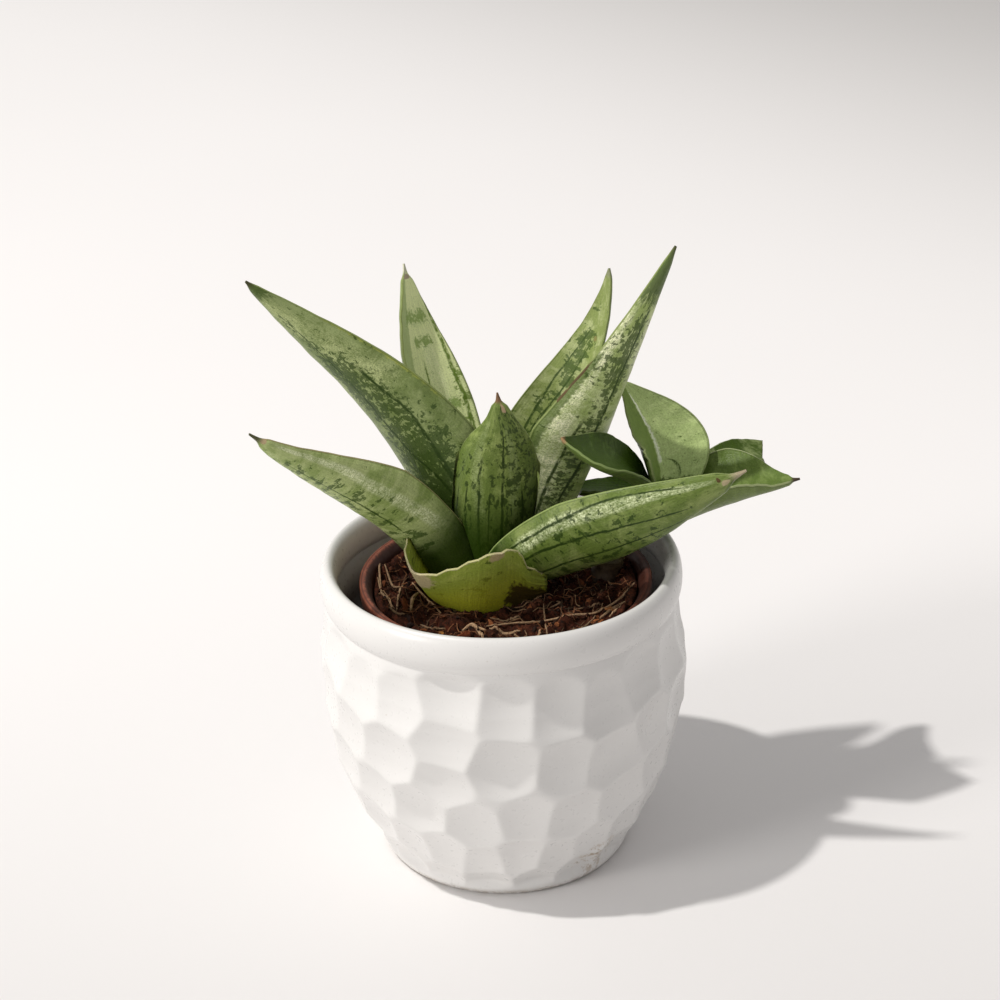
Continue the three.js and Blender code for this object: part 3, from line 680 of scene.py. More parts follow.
def makeBlade(name, material):
    points, faces, values = bladeGrid(leaves[name], blade["stations"], blade["across"])
    bm = toBmesh(points, faces)
    mesh = bpy.data.meshes.new(name + "_blade")
    bm.to_mesh(mesh)
    bm.free()
    loops = np.empty(len(mesh.loops), np.int32)
    mesh.loops.foreach_get("vertex_index", loops)
    uv = np.stack((0.5 + 0.5 * values["u"], values["share"]), 1)[loops]
    mesh.uv_layers.new(name="UVMap").data.foreach_set("uv", uv.astype(np.float32).ravel())
    for key in ("inner", "end"):
        mesh.attributes.new(key, "FLOAT", "POINT").data.foreach_set("value", values[key].astype(np.float32))
    obj = link(name + "_blade", mesh, material, [name])
    cutters = []
    for front in leaves[name].get("front", ()):
        solid = bladeGrid(leaves[front], blade["cutStations"], blade["cutAcross"], grow=blade["gap"], fine=False)
        cutters.append(toBmesh(*solid[:2]))
    cutBy(obj, cutters)
    biggestIsland(obj.data)
    obj.data.shade_smooth()
    obj.data.set_sharp_from_angle(angle=math.radians(55))
    return obj


# Leaf looks: colours are linear, places are (along 0..1, across -1..1); side is the one with the marks.
# zones: path, half width, start, end, more dark cover; lines: path, half width, start, end
# paleAndHighlightStripes (pale bands and painted highlights): path, half width, start, end, tint; washes: from and to
# across, from and to along, tint (some washes are painted light and shade)
# spots: along, across, radius across, radius along, tint
silverLook = dict(
    outer=(0.165, 0.215, 0.075), inner=(0.175, 0.235, 0.07), pale=(0.29, 0.345, 0.155), dark=(0.045, 0.08, 0.016),
    root=(0.016, 0.034, 0.004), rootStart=0.08, rootEnd=0.3, margin=(0.24, 0.29, 0.11), marginWide=0.013,
    rim=(0.06, 0.085, 0.022), paleCover=0.45, paleScale=0.2, darkCover=0.38, darkScale=0.55, fleck=0.38, zones=(),
    lines=(), spots=(), paleAndHighlightStripes=(), washes=(), dry=0.982, dryColor=(0.06, 0.06, 0.025), cross=(0.55, 1.0),
    rough=0.38, seed=1.0, side="outer")
looks = {
    "leaf_left_tall": dict(
        seed=3.1, pale=(0.33, 0.385, 0.18), paleCover=0.5, paleScale=0.16, darkScale=0.8, dark=(0.032, 0.06, 0.011),
        cross=(0.8, 0.8),
        zones=[(((0.1, 0.35), (0.35, 0.12), (0.55, 0.0), (0.75, -0.1)), 0.66, 0.05, 0.7, 0.17),
               (((0.5, -0.3), (0.75, -0.2), (0.9, -0.1)), 0.35, 0.5, 0.88, 0.1),
               (((0.1, 0.0), (0.4, 0.1)), 0.9, 0.0, 0.4, 0.1)],
        lines=[(((0.15, 0.28), (0.24, 0.2), (0.39, -0.14), (0.51, -0.19), (0.64, -0.17), (0.86, -0.06)), 0.032, 0.1,
                0.88),
               (((0.2, 0.36), (0.36, 0.34), (0.47, 0.39), (0.54, 0.33), (0.62, 0.33)), 0.045, 0.1, 0.64)],
        paleAndHighlightStripes=[(((0.5, 0.5), (0.7, 0.3), (0.9, 0.05)), 0.6, 0.52, 0.95, (0.5, 0.55, 0.28))],
        washes=[(0.955, 2, 0.44, 0.78, (0.34, 0.38, 0.1)), (-2, 2, 0.935, 2, (0.06, 0.095, 0.02))]),
    "leaf_left_low": dict(
        seed=7.7, outer=(0.25, 0.32, 0.11), pale=(0.48, 0.54, 0.26), paleCover=0.5, darkCover=0.32,
        margin=(0.33, 0.3, 0.15), rootStart=0.17, rootEnd=0.33, dry=0.96, dryColor=(0.1, 0.1, 0.05),
        zones=[(((0.2, -0.2), (0.9, -0.3)), 0.85, 0.15, 0.9, 0.155)],
        lines=[(((0.3, 0.0), (0.51, -0.1), (0.73, -0.2)), 0.03, 0.3, 0.85)],
        paleAndHighlightStripes=[(((0.25, 0.62), (0.51, 0.45), (0.68, 0.62), (0.9, 0.7)), 0.17, 0.24, 0.93, (0.72, 0.76, 0.5))],
        spots=[(0.953, 0.62, 0.5, 0.01, (0.42, 0.33, 0.2))]),
    # painted light: the inner side's colours are raised far above the outer side's (paleOuter), standing in for light
    # falling on it
    "leaf_back_left": dict(
        seed=12.3, side="inner", inner=(0.71, 0.8, 0.42), paleOuter=(0.29, 0.345, 0.155), pale=(0.9, 0.95, 0.55),
        dark=(0.17, 0.26, 0.05), paleCover=0.6, paleScale=0.12, darkCover=0.32, dry=0.968,
        dryColor=(0.62, 0.62, 0.48),
        zones=[(((0.1, -0.85), (0.9, -0.9)), 0.3, 0.1, 0.6, 0.14)],
        lines=[(((0.2, -0.84), (0.38, -0.84), (0.58, -0.85), (0.81, -0.97)), 0.07, 0.1, 0.88),
               (((0.45, -0.09), (0.6, -0.1)), 0.035, 0.47, 0.61)],
        paleAndHighlightStripes=[(((0.2, -0.3), (0.5, -0.33), (0.7, -0.4)), 0.3, 0.12, 0.68, (0.92, 0.97, 0.62))],
        washes=[(0.35, 2, 0.1, 0.95, (0.42, 0.51, 0.24)), (-0.75, 0.5, 0.77, 0.81, (0.27, 0.38, 0.12)),
                (-0.6, 0.1, 0.665, 0.7, (0.27, 0.38, 0.12)), (-0.7, -0.2, 0.4, 0.44, (0.3, 0.42, 0.13))],
        spots=[(0.953, 0.0, 1.0, 0.012, (0.45, 0.38, 0.28))]),
    "leaf_back_right": dict(
        seed=21.9, side="inner", inner=(0.235, 0.285, 0.1), pale=(0.44, 0.48, 0.25), paleScale=0.3, darkScale=0.4,
        dry=0.975, dryColor=(0.24, 0.26, 0.15),
        zones=[(((0.4, 0.3), (0.6, 0.35), (0.8, 0.1)), 0.55, 0.3, 0.83, 0.13),
               (((0.1, 0.1), (0.9, 0.1)), 1.2, 0.72, 0.8, 0.1)],
        lines=[(((0.4, 0.55), (0.52, 0.59), (0.62, 0.61), (0.79, 0.39)), 0.045, 0.3, 0.82),
               (((0.4, 0.4), (0.49, 0.35), (0.59, 0.21), (0.71, 0.12)), 0.045, 0.3, 0.73)],
        spots=[(0.77, -0.15, 0.14, 0.01, (0.2, 0.19, 0.07))]),
    # painted light: the shown outer side's colours are raised well above the inner side's, standing in for light on
    # it
    "leaf_right_tall": dict(
        seed=31.4, outer=(0.37, 0.46, 0.17), pale=(0.7, 0.77, 0.42), darkScale=0.8, paleCover=0.5, dry=0.992,
        zones=[(((0.1, -0.45), (0.5, -0.2), (0.9, -0.2)), 0.34, 0.15, 0.92, 0.14),
               (((0.1, -0.2), (0.9, -0.3)), 1.0, 0.7, 0.89, 0.11)],
        lines=[(((0.2, -0.3), (0.27, -0.26), (0.42, -0.12), (0.56, -0.07), (0.77, -0.05), (0.91, -0.07)), 0.045,
                0.16, 0.92),
               (((0.2, -0.6), (0.34, -0.54), (0.57, -0.42)), 0.04, 0.18, 0.6)],
        paleAndHighlightStripes=[(((0.2, -0.66), (0.41, -0.7), (0.73, -0.88), (0.9, -0.92)), 0.32, 0.15, 0.92, (1.0, 1.0, 0.72)),
                 (((0.2, 0.55), (0.6, 0.5), (0.9, 0.4)), 0.3, 0.2, 0.9, (0.62, 0.66, 0.42))],
        # painted shade: the first wash darkens the strip along the left margin as the shade of the folded edge
        washes=[(-2, -0.85, 0.3, 0.78, (0.12, 0.17, 0.05)), (-2, 2, 0.905, 2, (0.05, 0.085, 0.02))],
        spots=[(0.71, -0.99, 0.025, 0.05, (0.1, 0.07, 0.035)), (0.64, -0.99, 0.02, 0.03, (0.12, 0.08, 0.04)),
               (0.27, -0.9, 0.12, 0.012, (0.42, 0.2, 0.11))]),
    "leaf_front_centre": dict(
        seed=44.2, outer=(0.122, 0.168, 0.044), pale=(0.28, 0.34, 0.12), cross=(1.0, 0.5), dark=(0.02, 0.037, 0.007),
        darkScale=0.7, rootStart=0.12, rootEnd=0.32, dry=0.955, dryColor=(0.2, 0.12, 0.07),
        margin=(0.26, 0.32, 0.13),
        zones=[(((0.1, 0.5), (0.9, 0.4)), 0.75, 0.1, 0.95, 0.11), (((0.1, -0.5), (0.5, -0.6)), 0.6, 0.1, 0.5, 0.06)],
        lines=[(((0.1, 0.12), (0.28, 0.12), (0.6, 0.09)), 0.035, 0.1, 0.8),
               (((0.1, -0.26), (0.21, -0.27), (0.36, -0.31)), 0.035, 0.08, 0.5),
               (((0.1, 0.5), (0.5, 0.45)), 0.025, 0.1, 0.34), (((0.1, -0.5), (0.5, -0.55)), 0.025, 0.1, 0.33),
               (((0.1, -0.1), (0.4, -0.08)), 0.02, 0.08, 0.3), (((0.1, -0.7), (0.4, -0.74)), 0.02, 0.1, 0.3)],
        paleAndHighlightStripes=[(((0.28, -0.3), (0.5, -0.48), (0.76, -0.62)), 0.16, 0.2, 0.85, (0.27, 0.32, 0.15)),
                 (((0.2, 0.34), (0.5, 0.32), (0.8, 0.28)), 0.15, 0.2, 0.82, (0.22, 0.27, 0.12))],
        spots=[(0.925, 0.45, 0.2, 0.03, (0.36, 0.27, 0.17))]),
    "leaf_right_low": dict(
        seed=52.8, outer=(0.12, 0.168, 0.042), pale=(0.25, 0.3, 0.11), darkScale=0.7, dark=(0.02, 0.042, 0.006),
        rootStart=0.3, rootEnd=0.43, dry=0.972, dryColor=(0.34, 0.29, 0.2), margin=(0.25, 0.31, 0.12),
        zones=[(((0.3, -0.5), (0.9, -0.5)), 0.4, 0.2, 0.9, 0.05), (((0.3, 0.4), (0.9, 0.4)), 0.6, 0.25, 0.8, 0.08)],
        lines=[(((0.4, -0.75), (0.58, -0.76), (0.74, -0.84), (0.89, -0.62)), 0.035, 0.3, 0.9),
               (((0.3, -0.5), (0.54, -0.4), (0.75, -0.17), (0.89, 0.28)), 0.035, 0.25, 0.88),
               (((0.3, -0.15), (0.53, 0.0), (0.74, 0.29), (0.87, 0.68)), 0.035, 0.25, 0.86),
               (((0.3, 0.2), (0.6, 0.5)), 0.03, 0.2, 0.62)],
        paleAndHighlightStripes=[(((0.35, -0.66), (0.52, -0.72), (0.69, -0.7), (0.83, -0.65), (0.95, -0.5)), 0.17, 0.38, 0.95,
                  (0.76, 0.82, 0.54))],
        spots=[(0.955, -0.1, 0.3, 0.01, (0.4, 0.34, 0.21)), (0.944, -0.5, 0.2, 0.004, (0.08, 0.05, 0.02))]),
    # painted light: the colours are raised to stand in for light on this leaf's front, and the light yellow-green
    # towards the base is painted light through the leaf
    "leaf_front_torn": dict(
        seed=63.5, outer=(0.28, 0.35, 0.075), inner=(0.38, 0.46, 0.09), pale=(0.41, 0.465, 0.125),
        dark=(0.05, 0.075, 0.012), root=(0.44, 0.46, 0.06), rootStart=0.15, rootEnd=0.9, paleCover=0.45,
        darkCover=0.4, darkScale=0.35, dry=2, margin=(0.14, 0.17, 0.035), endRim=(0.52, 0.46, 0.3),
        spots=[(0.88, -0.5, 0.2, 0.24, (0.52, 0.45, 0.27)), (0.94, 0.3, 0.1, 0.06, (0.4, 0.33, 0.18)),
               (0.25, 0.75, 0.35, 0.3, (0.06, 0.045, 0.012))]),
    "offset_leaf_inner": dict(
        seed=71.2, inner=(0.05, 0.085, 0.015), outer=(0.11, 0.155, 0.045), pale=(0.1, 0.15, 0.045), paleCover=0.4,
        paleScale=0.6, darkCover=0.2, dark=(0.02, 0.04, 0.006), root=(0.02, 0.045, 0.004), rootEnd=0.5,
        margin=(0.2, 0.26, 0.1), dry=0.975, dryColor=(0.3, 0.19, 0.1)),
    # painted light: the inner side is made much lighter than the outer side (paleOuter), standing in for light on it
    "offset_leaf_folded": dict(
        seed=83.6, side="inner", inner=(0.49, 0.6, 0.27), outer=(0.15, 0.21, 0.06), paleOuter=(0.22, 0.28, 0.1),
        pale=(0.66, 0.77, 0.38), darkCover=0.36, darkScale=1.2, dark=(0.1, 0.16, 0.04), root=(0.1, 0.16, 0.04),
        rootEnd=0.15, dry=0.99, margin=(0.32, 0.38, 0.17),
        # painted light and shade: the dark curved line and the dark band near the base are painted shade in a crease,
        # the wall past the fold is darkened as painted shade, and the narrow bright band along the fold is a painted
        # highlight
        lines=[(((0.15, -0.45), (0.3, -0.3), (0.33, -0.1)), 0.05, 0.17, 0.36)],
        washes=[(0.07, 2, -1, 2, (0.17, 0.25, 0.06)), (-0.02, 0.055, 0.3, 0.93, (0.95, 0.98, 0.82)),
                (-0.9, 0.4, 0.1, 0.17, (0.05, 0.09, 0.015))]),
    "offset_leaf_cut": dict(
        seed=94.0, inner=(0.05, 0.085, 0.012), outer=(0.09, 0.135, 0.035), darkCover=0.2, dry=2,
        margin=(0.22, 0.28, 0.11), endRim=(0.05, 0.045, 0.015)),
    "offset_leaf_outer": dict(
        seed=105.3, inner=(0.105, 0.155, 0.036), outer=(0.14, 0.185, 0.06), pale=(0.19, 0.25, 0.08), darkCover=0.32,
        darkScale=0.9, margin=(0.33, 0.38, 0.19), dry=0.955, dryColor=(0.05, 0.035, 0.02), rootEnd=0.2),
    "offset_leaf_left": dict(
        seed=113.9, inner=(0.09, 0.16, 0.02), outer=(0.07, 0.11, 0.025), paleCover=0.3, darkCover=0.2,
        dark=(0.02, 0.04, 0.005), margin=(0.17, 0.22, 0.08), root=(0.02, 0.04, 0.004)),
}


def curveNode(tree, value, points):
    node = add(tree, "ShaderNodeFloatCurve", {"Value": value})
    curve = node.mapping.curves[0]
    points = [(s, (u + 1) / 2) for s, u in points]
    curve.points[0].location, curve.points[1].location = points[0], points[-1]
    for p in points[1:-1]:
        curve.points.new(*p)
    node.mapping.update()
    return mathNode(tree, "MULTIPLY_ADD", node.outputs[0], 2, -1)


def leafMaterial(name):
    look, leaf = {**silverLook, **looks[name]}, leaves[name]
    mat, tree, shader = newMaterial(name + "_skin", look["rough"], 0.2)
    length, width = 14, 36  # of the torn stub
    if "curve" in leaf:
        length, width = math.dist(leaf["curve"][0], leaf["curve"][3]) * 1.08, leaf["width"]
    uvX, s, _ = split(tree, add(tree, "ShaderNodeUVMap", {}, uv_map="UVMap").outputs[0])
    u = mathNode(tree, "MULTIPLY_ADD", uvX, 2, -1)
    inner = attribute(tree, "inner")
    shown = inner if look["side"] == "inner" else mathNode(tree, "SUBTRACT", 1, inner)
    coord = add(tree, "ShaderNodeCombineXYZ", {
        "X": times(tree, u, width / 2), "Y": times(tree, s, length),
        "Z": mathNode(tree, "MULTIPLY_ADD", inner, 40, look["seed"])}).outputs[0]
    stretched, crossed = mapping(tree, coord, (1, 0.42, 1)), mapping(tree, coord, (*look["cross"], 1))
    grain = noiseTex(tree, coord, 2.6, 5, 0.75)
    streak = noiseTex(tree, mapping(tree, coord, (2.4, 0.12, 1)), 1, 3)
    blot = noiseTex(tree, coord, 0.7, 4, 0.7)

    def lineMask(points, half, start, end):
        centre = curveNode(tree, s, points)
        return use(tree, lineGroup, U=u, S=s, Centre=centre, Half=half, From=start, To=end, Coord=stretched)

    color = mixColor(tree, inner, look["outer"], look["inner"])
    pale = use(tree, mottleGroup, Coord=crossed, Scale=look["paleScale"], Cover=look["paleCover"], Soft=0.10)
    paleTone = mixColor(tree, inner, look.get("paleOuter", look["pale"]), look["pale"])
    color = mixColor(tree, times(tree, pale, 0.75), color, paleTone)
    # painted highlight: the stripes are pale silver bands with painted highlights on them, broken into a painted
    # glint by the grain
    paintedGlint = times(tree, ramp(tree, grain, 0.43, 0.57, 0.25, 1.0), mathNode(tree, "MULTIPLY_ADD", pale, 0.55, 0.45))
    for *line, tint in look["paleAndHighlightStripes"]:
        color = mixColor(tree, times(tree, lineMask(*line), paintedGlint, shown), color, tint)
    shiftU, shiftS = jitter(tree, u, blot, 0.22), jitter(tree, s, blot, 0.13)
    for fromU, toU, fromS, toS, tint in look["washes"]:
        wash = use(tree, washGroup, U=shiftU, S=shiftS, FromU=fromU, ToU=toU, FromS=fromS, ToS=toS)
        color = mixColor(tree, times(tree, wash, 0.85, shown), color, tint)
    cover = look["darkCover"]
    for *line, amount in look["zones"]:
        cover = mathNode(tree, "ADD", cover, times(tree, lineMask(*line), shown, amount))
    dark = use(tree, mottleGroup, Coord=crossed, Scale=look["darkScale"], Cover=cover, Soft=0.018)
    fleck = use(tree, mottleGroup, Coord=coord, Scale=1.9, Cover=look["fleck"], Soft=0.025)
    darkness = mathNode(tree, "ADD", times(tree, dark, 0.85), times(tree, fleck, 0.45))
    color = mixColor(tree, mathNode(tree, "MULTIPLY", darkness, 0.95, clamp=True), color, look["dark"])
    for line in look["lines"]:
        color = mixColor(tree, times(tree, lineMask(*line), 0.95, shown), color, tuple(0.8 * c for c in look["dark"]))
    color = mixColor(tree, ramp(tree, streak, 0.3, 0.7, 0.0, 0.16), color, look["dark"])
    # towards the base each leaf turns to its root tone: the dark root tones are painted shade where the leaf bases
    # crowd together; leaf_front_torn's light one is painted light through the leaf
    color = mixColor(tree, ramp(tree, s, look["rootStart"], look["rootEnd"], 0.94, 0.0), color, look["root"])
    au, wide = mathNode(tree, "ABSOLUTE", u), look["marginWide"]
    color = mixColor(tree, times(tree, ramp(tree, au, 1 - 3.2 * wide, 1 - 1.6 * wide), 0.55), color, look["rim"])
    color = mixColor(tree, ramp(tree, au, 1 - 1.3 * wide, 1 - 0.4 * wide), color, look["margin"])
    for atS, atU, radiusU, radiusS, tint in look["spots"]:
        spot = use(tree, spotGroup, U=u, S=s, AtU=atU, AtS=atS, RadiusU=radiusU, RadiusS=radiusS, Coord=coord)
        color = mixColor(tree, spot, color, tint)
    if "endRim" in look:
        ragged = jitter(tree, attribute(tree, "end"), grain, 0.10)
        torn = times(tree, ramp(tree, ragged, 0.985, 1.005), ramp(tree, grain, 0.40, 0.52, 0.3, 1.0))
        color = mixColor(tree, torn, color, look["endRim"])
    dryEdge = jitter(tree, s, grain, 0.03)
    color = mixColor(tree, ramp(tree, dryEdge, look["dry"] - 0.012, look["dry"] + 0.012), color, look["dryColor"])
    tone = {"Color": color, "Saturation": 1.08, "Value": ramp(tree, grain, 0.3, 0.7, 0.92, 1.28)}
    bump = bumpNode(tree, streak, 0.35, 0.30)
    tree.links.new(bumpNode(tree, cells(tree, coord, 2.4), 0.30, 0.16).outputs[0], bump.inputs["Normal"])
    dress(tree, shader, add(tree, "ShaderNodeHueSaturation", tone).outputs[0], bump,
          ramp(tree, grain, 0.3, 0.7, look["rough"] - 0.08, look["rough"] + 0.14))
    return mat


for leafName in leaves:
    makeBlade(leafName, leafMaterial(leafName))
print("leaves done")


# Crown and side shoot
crown = dict(
    x=-1, y=1, low=44, high=58.8, radii=[2.4, 3.2, 3.8, 4.1, 4.2, 4.15, 4.0, 3.8, 3.6, 3.3, 2.6, 1.4],
    shoot=[(-1, 1, 49), (9, 4, 48.5), (18, 6, 51), (22, 7, 58.5), (24.5, 7.5, 65), (29, 8.5, 71), (34, 9.5, 75)],
    rings=60, shootRadius=3.0, brown=((0.035, 0.020, 0.012), (0.085, 0.055, 0.03)),
    green=((0.12, 0.15, 0.035), (0.26, 0.26, 0.09)))


def tubeMesh(route, radii, sides=16):
    route, points = np.asarray(route, float), []
    tangents = unit(np.gradient(route, axis=0))
    side = unit(np.cross(tangents[0], np.array([0.31, 0.52, 0.79])))
    for i, (p, t) in enumerate(zip(route, tangents)):
        side = unit(side - t * np.dot(side, t))
        other = np.cross(t, side)
        for j in range(sides):
            a = 2 * math.pi * j / sides
            r = radii[i] * (1 + 0.05 * math.sin(3 * a + i))
            points.append(p + side * r * math.cos(a) + other * r * math.sin(a))
    return points, sleeveFaces(len(route), sides)


def smoothRoute(points, n):
    return splineAt(points, np.linspace(0, len(points) - 1, n))


def makeCrown():
    mat, tree, shader = newMaterial("rhizomeSkin", 0.55, 0.4)
    coord = objectCoord(tree)
    mottle = ramp(tree, noiseTex(tree, coord, 0.6, 5, 0.7), 0.35, 0.65)
    brown, green = (mixColor(tree, mottle, *crown[key]) for key in ("brown", "green"))
    color = mixColor(tree, ramp(tree, split(tree, coord)[2], 61, 72), brown, green)
    bands = noiseTex(tree, objectCoord(tree, (0.2, 0.2, 1.6)), 0.8, 3)
    dress(tree, shader, color, bumpNode(tree, bands, 0.6, 0.5))
    stub = [(crown["x"], crown["y"], z) for z in np.linspace(crown["low"], crown["high"], len(crown["radii"]))]
    points, faces = tubeMesh(stub, crown["radii"])
    n = crown["rings"]
    radii = [crown["shootRadius"] + 0.22 * math.sin(i * 0.9) * (1 if i % 7 else 0.2) - 0.4 * smoothstep(i, 48, 60)
             for i in range(n)]
    more, moreFaces = tubeMesh(smoothRoute(crown["shoot"], n), radii)
    faces += [tuple(i + len(points) for i in f) for f in moreFaces]
    mesh = meshFrom("crown_rhizome_skin", points + more, faces)
    return link("crown_rhizome_skin", mesh, mat, ["crown_rhizome"])


makeCrown()
print("crown done")


# Potting mix: bank is how far it climbs at the edge; crumbs and strands fall by rng, chips and roots are placed
soil = dict(
    level=60.0, radius=28.1, bank=1.8, bankFrom=23.5, rings=130, segments=260, under=((30, 24.2), (8, 20.2)),
    tones=((0.012, 0.006, 0.004), (0.105, 0.028, 0.013)), bits=(0.19, 0.065, 0.025),
    litter=27.3, litterEdge=27.6, crumbs=620, crumbShares=(0.35, 0.27, 0.2, 0.12, 0.06),
    crumbTints=[(0.05, 0.018, 0.01), (0.09, 0.03, 0.014), (0.022, 0.01, 0.007), (0.16, 0.05, 0.02),
                (0.24, 0.085, 0.03)],
    chips=[(-13, -17, 1.1, (0.42, 0.19, 0.05)), (20.5, -14, 2.0, (0.3, 0.1, 0.03)),
           (17, -16.5, 1.6, (0.26, 0.09, 0.03)), (-8.2, -19.5, 2.0, (0.2, 0.055, 0.02)),
           (-20.5, -5.5, 1.9, (0.17, 0.05, 0.02)), (23, -9.5, 1.5, (0.34, 0.15, 0.05)),
           (-5, 22, 2.2, (0.2, 0.07, 0.03)), (8, 19, 1.6, (0.28, 0.1, 0.03)), (-16, 14, 1.8, (0.2, 0.06, 0.02))],
    strands=520, strandTints=((0.44, 0.28, 0.16), (0.34, 0.15, 0.07), (0.34, 0.15, 0.07)),
    rootTint=(0.46, 0.31, 0.19))
roots = [  # path, thickness, tone
    ([(-3.7, -16.6), (2.7, -15.2), (8.5, -14.1), (14.7, -12.2), (19.7, -10.7), (25.2, -6.1), (28.4, -1)], 0.26, 0.9),
    ([(14.5, -21.3), (17.2, -16.3), (19.7, -11.6)], 0.17, 0.7),
    ([(-8.3, -16.4), (-6.2, -16.1), (-4.8, -18.3), (-3.8, -22.6)], 0.42, 1.0),
    ([(-6.2, -17.0), (-3.3, -18.8)], 0.3, 1.0), ([(-2.7, -17.5), (0.6, -18.1), (3.7, -17.8)], 0.34, 0.95),
    ([(2.4, -20.7), (4.2, -21.2), (6.0, -23.2), (7.3, -21.4), (8.1, -16.7)], 0.4, 1.0),
    ([(8.8, -7.1), (8.9, -11.8), (9.1, -15.9), (9.3, -22.5)], 0.2, 0.8),
    ([(-19.2, 3.7), (-16.5, -1.9), (-12.8, -9.3)], 0.24, 1.2),
    ([(-2.5, -12.7), (0.7, -13.2), (3.8, -12.6)], 0.24, 0.8), ([(1.7, -14.1), (3.8, -12.6)], 0.2, 0.8),
    ([(-17.8, -1.0), (-18.8, -4.5), (-19.3, -7.2)], 0.4, 1.0),
    ([(-21.2, 3.8), (-21.9, -1.2), (-22.3, -6.2)], 0.25, 0.8),
    ([(-26.4, 11.1), (-26.3, 6.0), (-25.7, -0.1)], 0.22, 0.8),
    ([(-26.6, 4.0), (-25.5, -1.0), (-23.2, -5.7)], 0.25, 0.7), ([(22.5, 5.1), (23.8, 2.7), (25.2, 4.0)], 0.3, 0.9),
    ([(24.1, 10.7), (24.7, 5.9)], 0.25, 0.8), ([(10.2, -8.5), (12.3, -7.3), (11.6, -4.5)], 0.22, 0.5),
    ([(15.3, -10.9), (18.6, -8.9), (21.4, -6.8)], 0.2, 0.7),
    ([(20.5, -12.9), (23.1, -10.0), (26.0, -7.9)], 0.3, 0.8),
    ([(22.2, -15.1), (24.3, -11.6), (26.4, -8.9)], 0.25, 0.9),
    ([(-25.2, 8.2), (-23.5, 3.4), (-21.7, 1.0)], 0.25, 0.7),
    ([(-23.7, -9.8), (-21.9, -11.5), (-20.3, -12.5)], 0.3, 0.6),
    ([(-17.1, -12.6), (-14.6, -14.9), (-11.8, -15.9)], 0.28, 0.5)]


def soilHeight(x, y):
    cx, cy = x - nursery["centre"][0], y - nursery["centre"][1]
    waves = 0.7 * math.sin(0.55 * cx + 1.3) * math.cos(0.47 * cy) + 0.5 * math.sin(1.1 * cx - 0.9 * cy)
    fine = noise.fractal(Vector((x * 0.28, y * 0.28, 3.1)), 0.7, 2.1, 5) * 1.15
    crumb = noise.fractal(Vector((x * 1.1, y * 1.1, 8.4)), 0.6, 2.2, 4) * 0.5
    reach = math.hypot(cx, cy)
    bank = soil["bank"] * smoothstep(reach, soil["bankFrom"], soil["radius"] - 0.3)
    return soil["level"] + 0.75 * waves - 0.02 * reach + bank + fine + crumb - 0.4


def mixMaterial():
    mat, tree, shader = newMaterial("pottingMix", 0.92, 0.15)
    coord = objectCoord(tree)
    tex = noiseTex(tree, coord, 0.8, 8, 0.8)
    color = mixColor(tree, ramp(tree, tex, 0.35, 0.65), *soil["tones"])
    color = mixColor(tree, ramp(tree, cells(tree, coord, 0.9), 0.05, 0.22, 0.7, 0.0), color, soil["bits"])
    dress(tree, shader, color, bumpNode(tree, tex, 0.9, 0.8))
    return mat


def tintMaterial(name, roughness):
    mat, tree, shader = newMaterial(name, roughness, 0.25)
    tex = noiseTex(tree, objectCoord(tree), 2.2, 5, 0.7)
    wear = mixColor(tree, ramp(tree, tex, 0.3, 0.7), (0.55, 0.5, 0.45), (1.25, 1.2, 1.15))
    color = mixColor(tree, 1.0, attribute(tree, "tint", "Color"), wear, "MULTIPLY")
    dress(tree, shader, color, bumpNode(tree, tex, 0.6, 0.25))
    return mat


def tinted(name, parts, material):
    points, faces, tints = [], [], []
    for p, f, tint in parts:
        faces += [tuple(i + len(points) for i in face) for face in f]
        points += [tuple(q) for q in p]
        tints += [(*tint, 1.0)] * len(p)
    mesh = bpy.data.meshes.new(name)
    mesh.from_pydata([tuple(q) for q in np.asarray(points) * milli], [], faces)
    layer = mesh.attributes.new("tint", "FLOAT_COLOR", "POINT")
    layer.data.foreach_set("color", np.asarray(tints, np.float32).ravel())
    mesh.shade_smooth()
    mesh.set_sharp_from_angle(angle=math.radians(40))
    return link(name, mesh, material)


def makeSoil():
    centre, rings, segments = nursery["centre"], soil["rings"], soil["segments"]
    turns = [2 * math.pi * j / segments for j in range(segments)]
    points, faces = [], []
    for i in range(rings + 1):
        for a in turns:
            x, y = onCircle(centre, soil["radius"] * i / rings, a)
            points.append((x, y, soilHeight(x, y)))
    for z, r in soil["under"]:
        points += [(*onCircle(centre, r, a), z) for a in turns]
    for i in range(rings + len(soil["under"])):
        for j in range(segments):
            k = (j + 1) % segments
            faces.append((i * segments + j, (i + 1) * segments + j, (i + 1) * segments + k, i * segments + k))
    faces.append(tuple(range(len(points) - segments, len(points)))[::-1])
    mesh = meshFrom("potting_mix_top", points, faces)
    return link("potting_mix_top", mesh, mixMaterial(), ["potting_mix"])


def randomSpot():
    a, r = rng.uniform(0, 2 * math.pi), math.sqrt(rng.uniform(0, soil["litter"] ** 2))
    return onCircle(nursery["centre"], r, a)


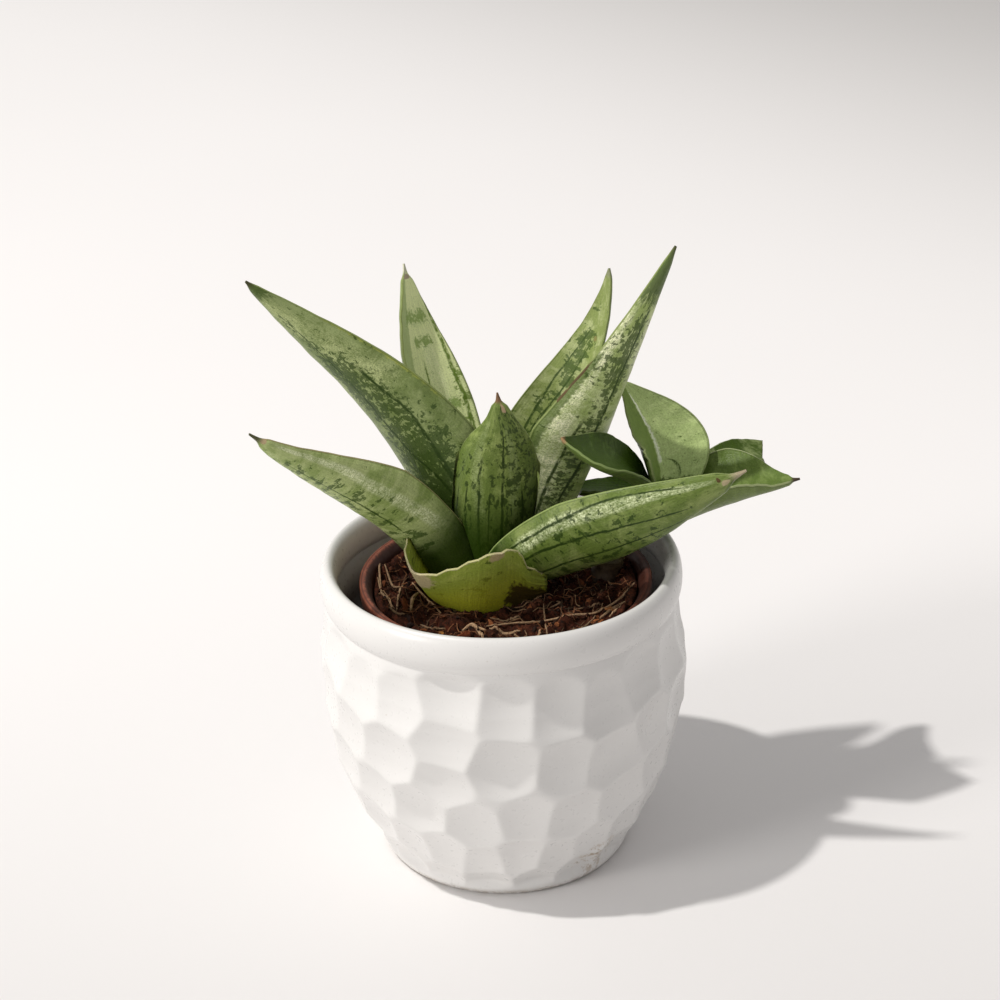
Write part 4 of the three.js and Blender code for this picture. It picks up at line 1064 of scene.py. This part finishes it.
def chip(x, y, size, tint, flat=0.5):
    bm = bmesh.new()
    bmesh.ops.create_icosphere(bm, subdivisions=2, radius=1)
    spin = Matrix.Rotation(rng.uniform(0, 6.3), 3, Vector(rng.normal(size=3)).normalized())
    seed = Vector((rng.uniform(0, 99), 0, 0))
    stretch = Vector((1.0, rng.uniform(0.45, 0.9), flat * rng.uniform(0.5, 1.1)))
    place = Vector((x, y, soilHeight(x, y) + 0.15 * size))
    points = []
    for v in bm.verts:
        q = v.co * (1 + 0.5 * noise.noise(v.co * 1.3 + seed)) * stretch
        points.append(place + spin @ q * size)
    faces = [tuple(v.index for v in f.verts) for f in bm.faces]
    bm.free()
    return points, faces, tint


def strand(route, thick, tint, sides):
    n = len(route)
    radii = [thick * (0.35 + 0.65 * math.sin(math.pi * (0.08 + 0.84 * i / (n - 1)))) for i in range(n)]
    return (*tubeMesh(route, radii, sides), tint)


def onSoil(path, lift):
    return [(x, y, soilHeight(x, y) + lift + 0.25 * math.sin(1.7 * i)) for i, (x, y) in enumerate(path)]


def makeBits():
    crumbs = []
    for i in range(soil["crumbs"]):
        x, y = randomSpot()
        size = rng.uniform(0.25, 0.95)
        crumbs.append(chip(x, y, size, soil["crumbTints"][rng.choice(5, p=soil["crumbShares"])]))
    for x, y, size, tint in soil["chips"]:
        crumbs.append(chip(x, y, size, tint, 0.4))
    tinted("potting_mix_crumbs", crumbs, tintMaterial("crumbs", 0.9))

    strands = []
    for i in range(soil["strands"]):
        x, y = randomSpot()
        a, length = rng.uniform(0, 2 * math.pi), rng.uniform(1.5, 7.0)
        bend = rng.normal(0, 0.5)
        path = []
        for k in range(6):
            path.append((x, y))
            x, y = onCircle((x, y), length / 5, a)
            a += bend * 0.5 + rng.normal(0, 0.18)
        if max(math.dist(p, nursery["centre"]) for p in path) > soil["litterEdge"]:
            continue
        tone = rng.uniform(0.15, 1.0) ** 1.6
        tint = tuple(tone * c for c in soil["strandTints"][i % 3])
        route = onSoil(path, rng.uniform(0.0, 0.9))
        strands.append(strand(route, rng.uniform(0.07, 0.17), tint, 4))
    for path, thick, tone in roots:
        route = smoothRoute([(x, y, soilHeight(x, y) + 0.55) for x, y in path], 8 * len(path))
        route[:, 2] = np.maximum(route[:, 2], [soilHeight(x, y) + 0.3 for x, y in route[:, :2]])
        strands.append(strand(route, thick, tuple(min(1, tone * c) for c in soil["rootTint"]), 6))
    tinted("potting_mix_roots", strands, tintMaterial("rootFibre", 0.75))


makeSoil()
makeBits()
print("potting mix done")
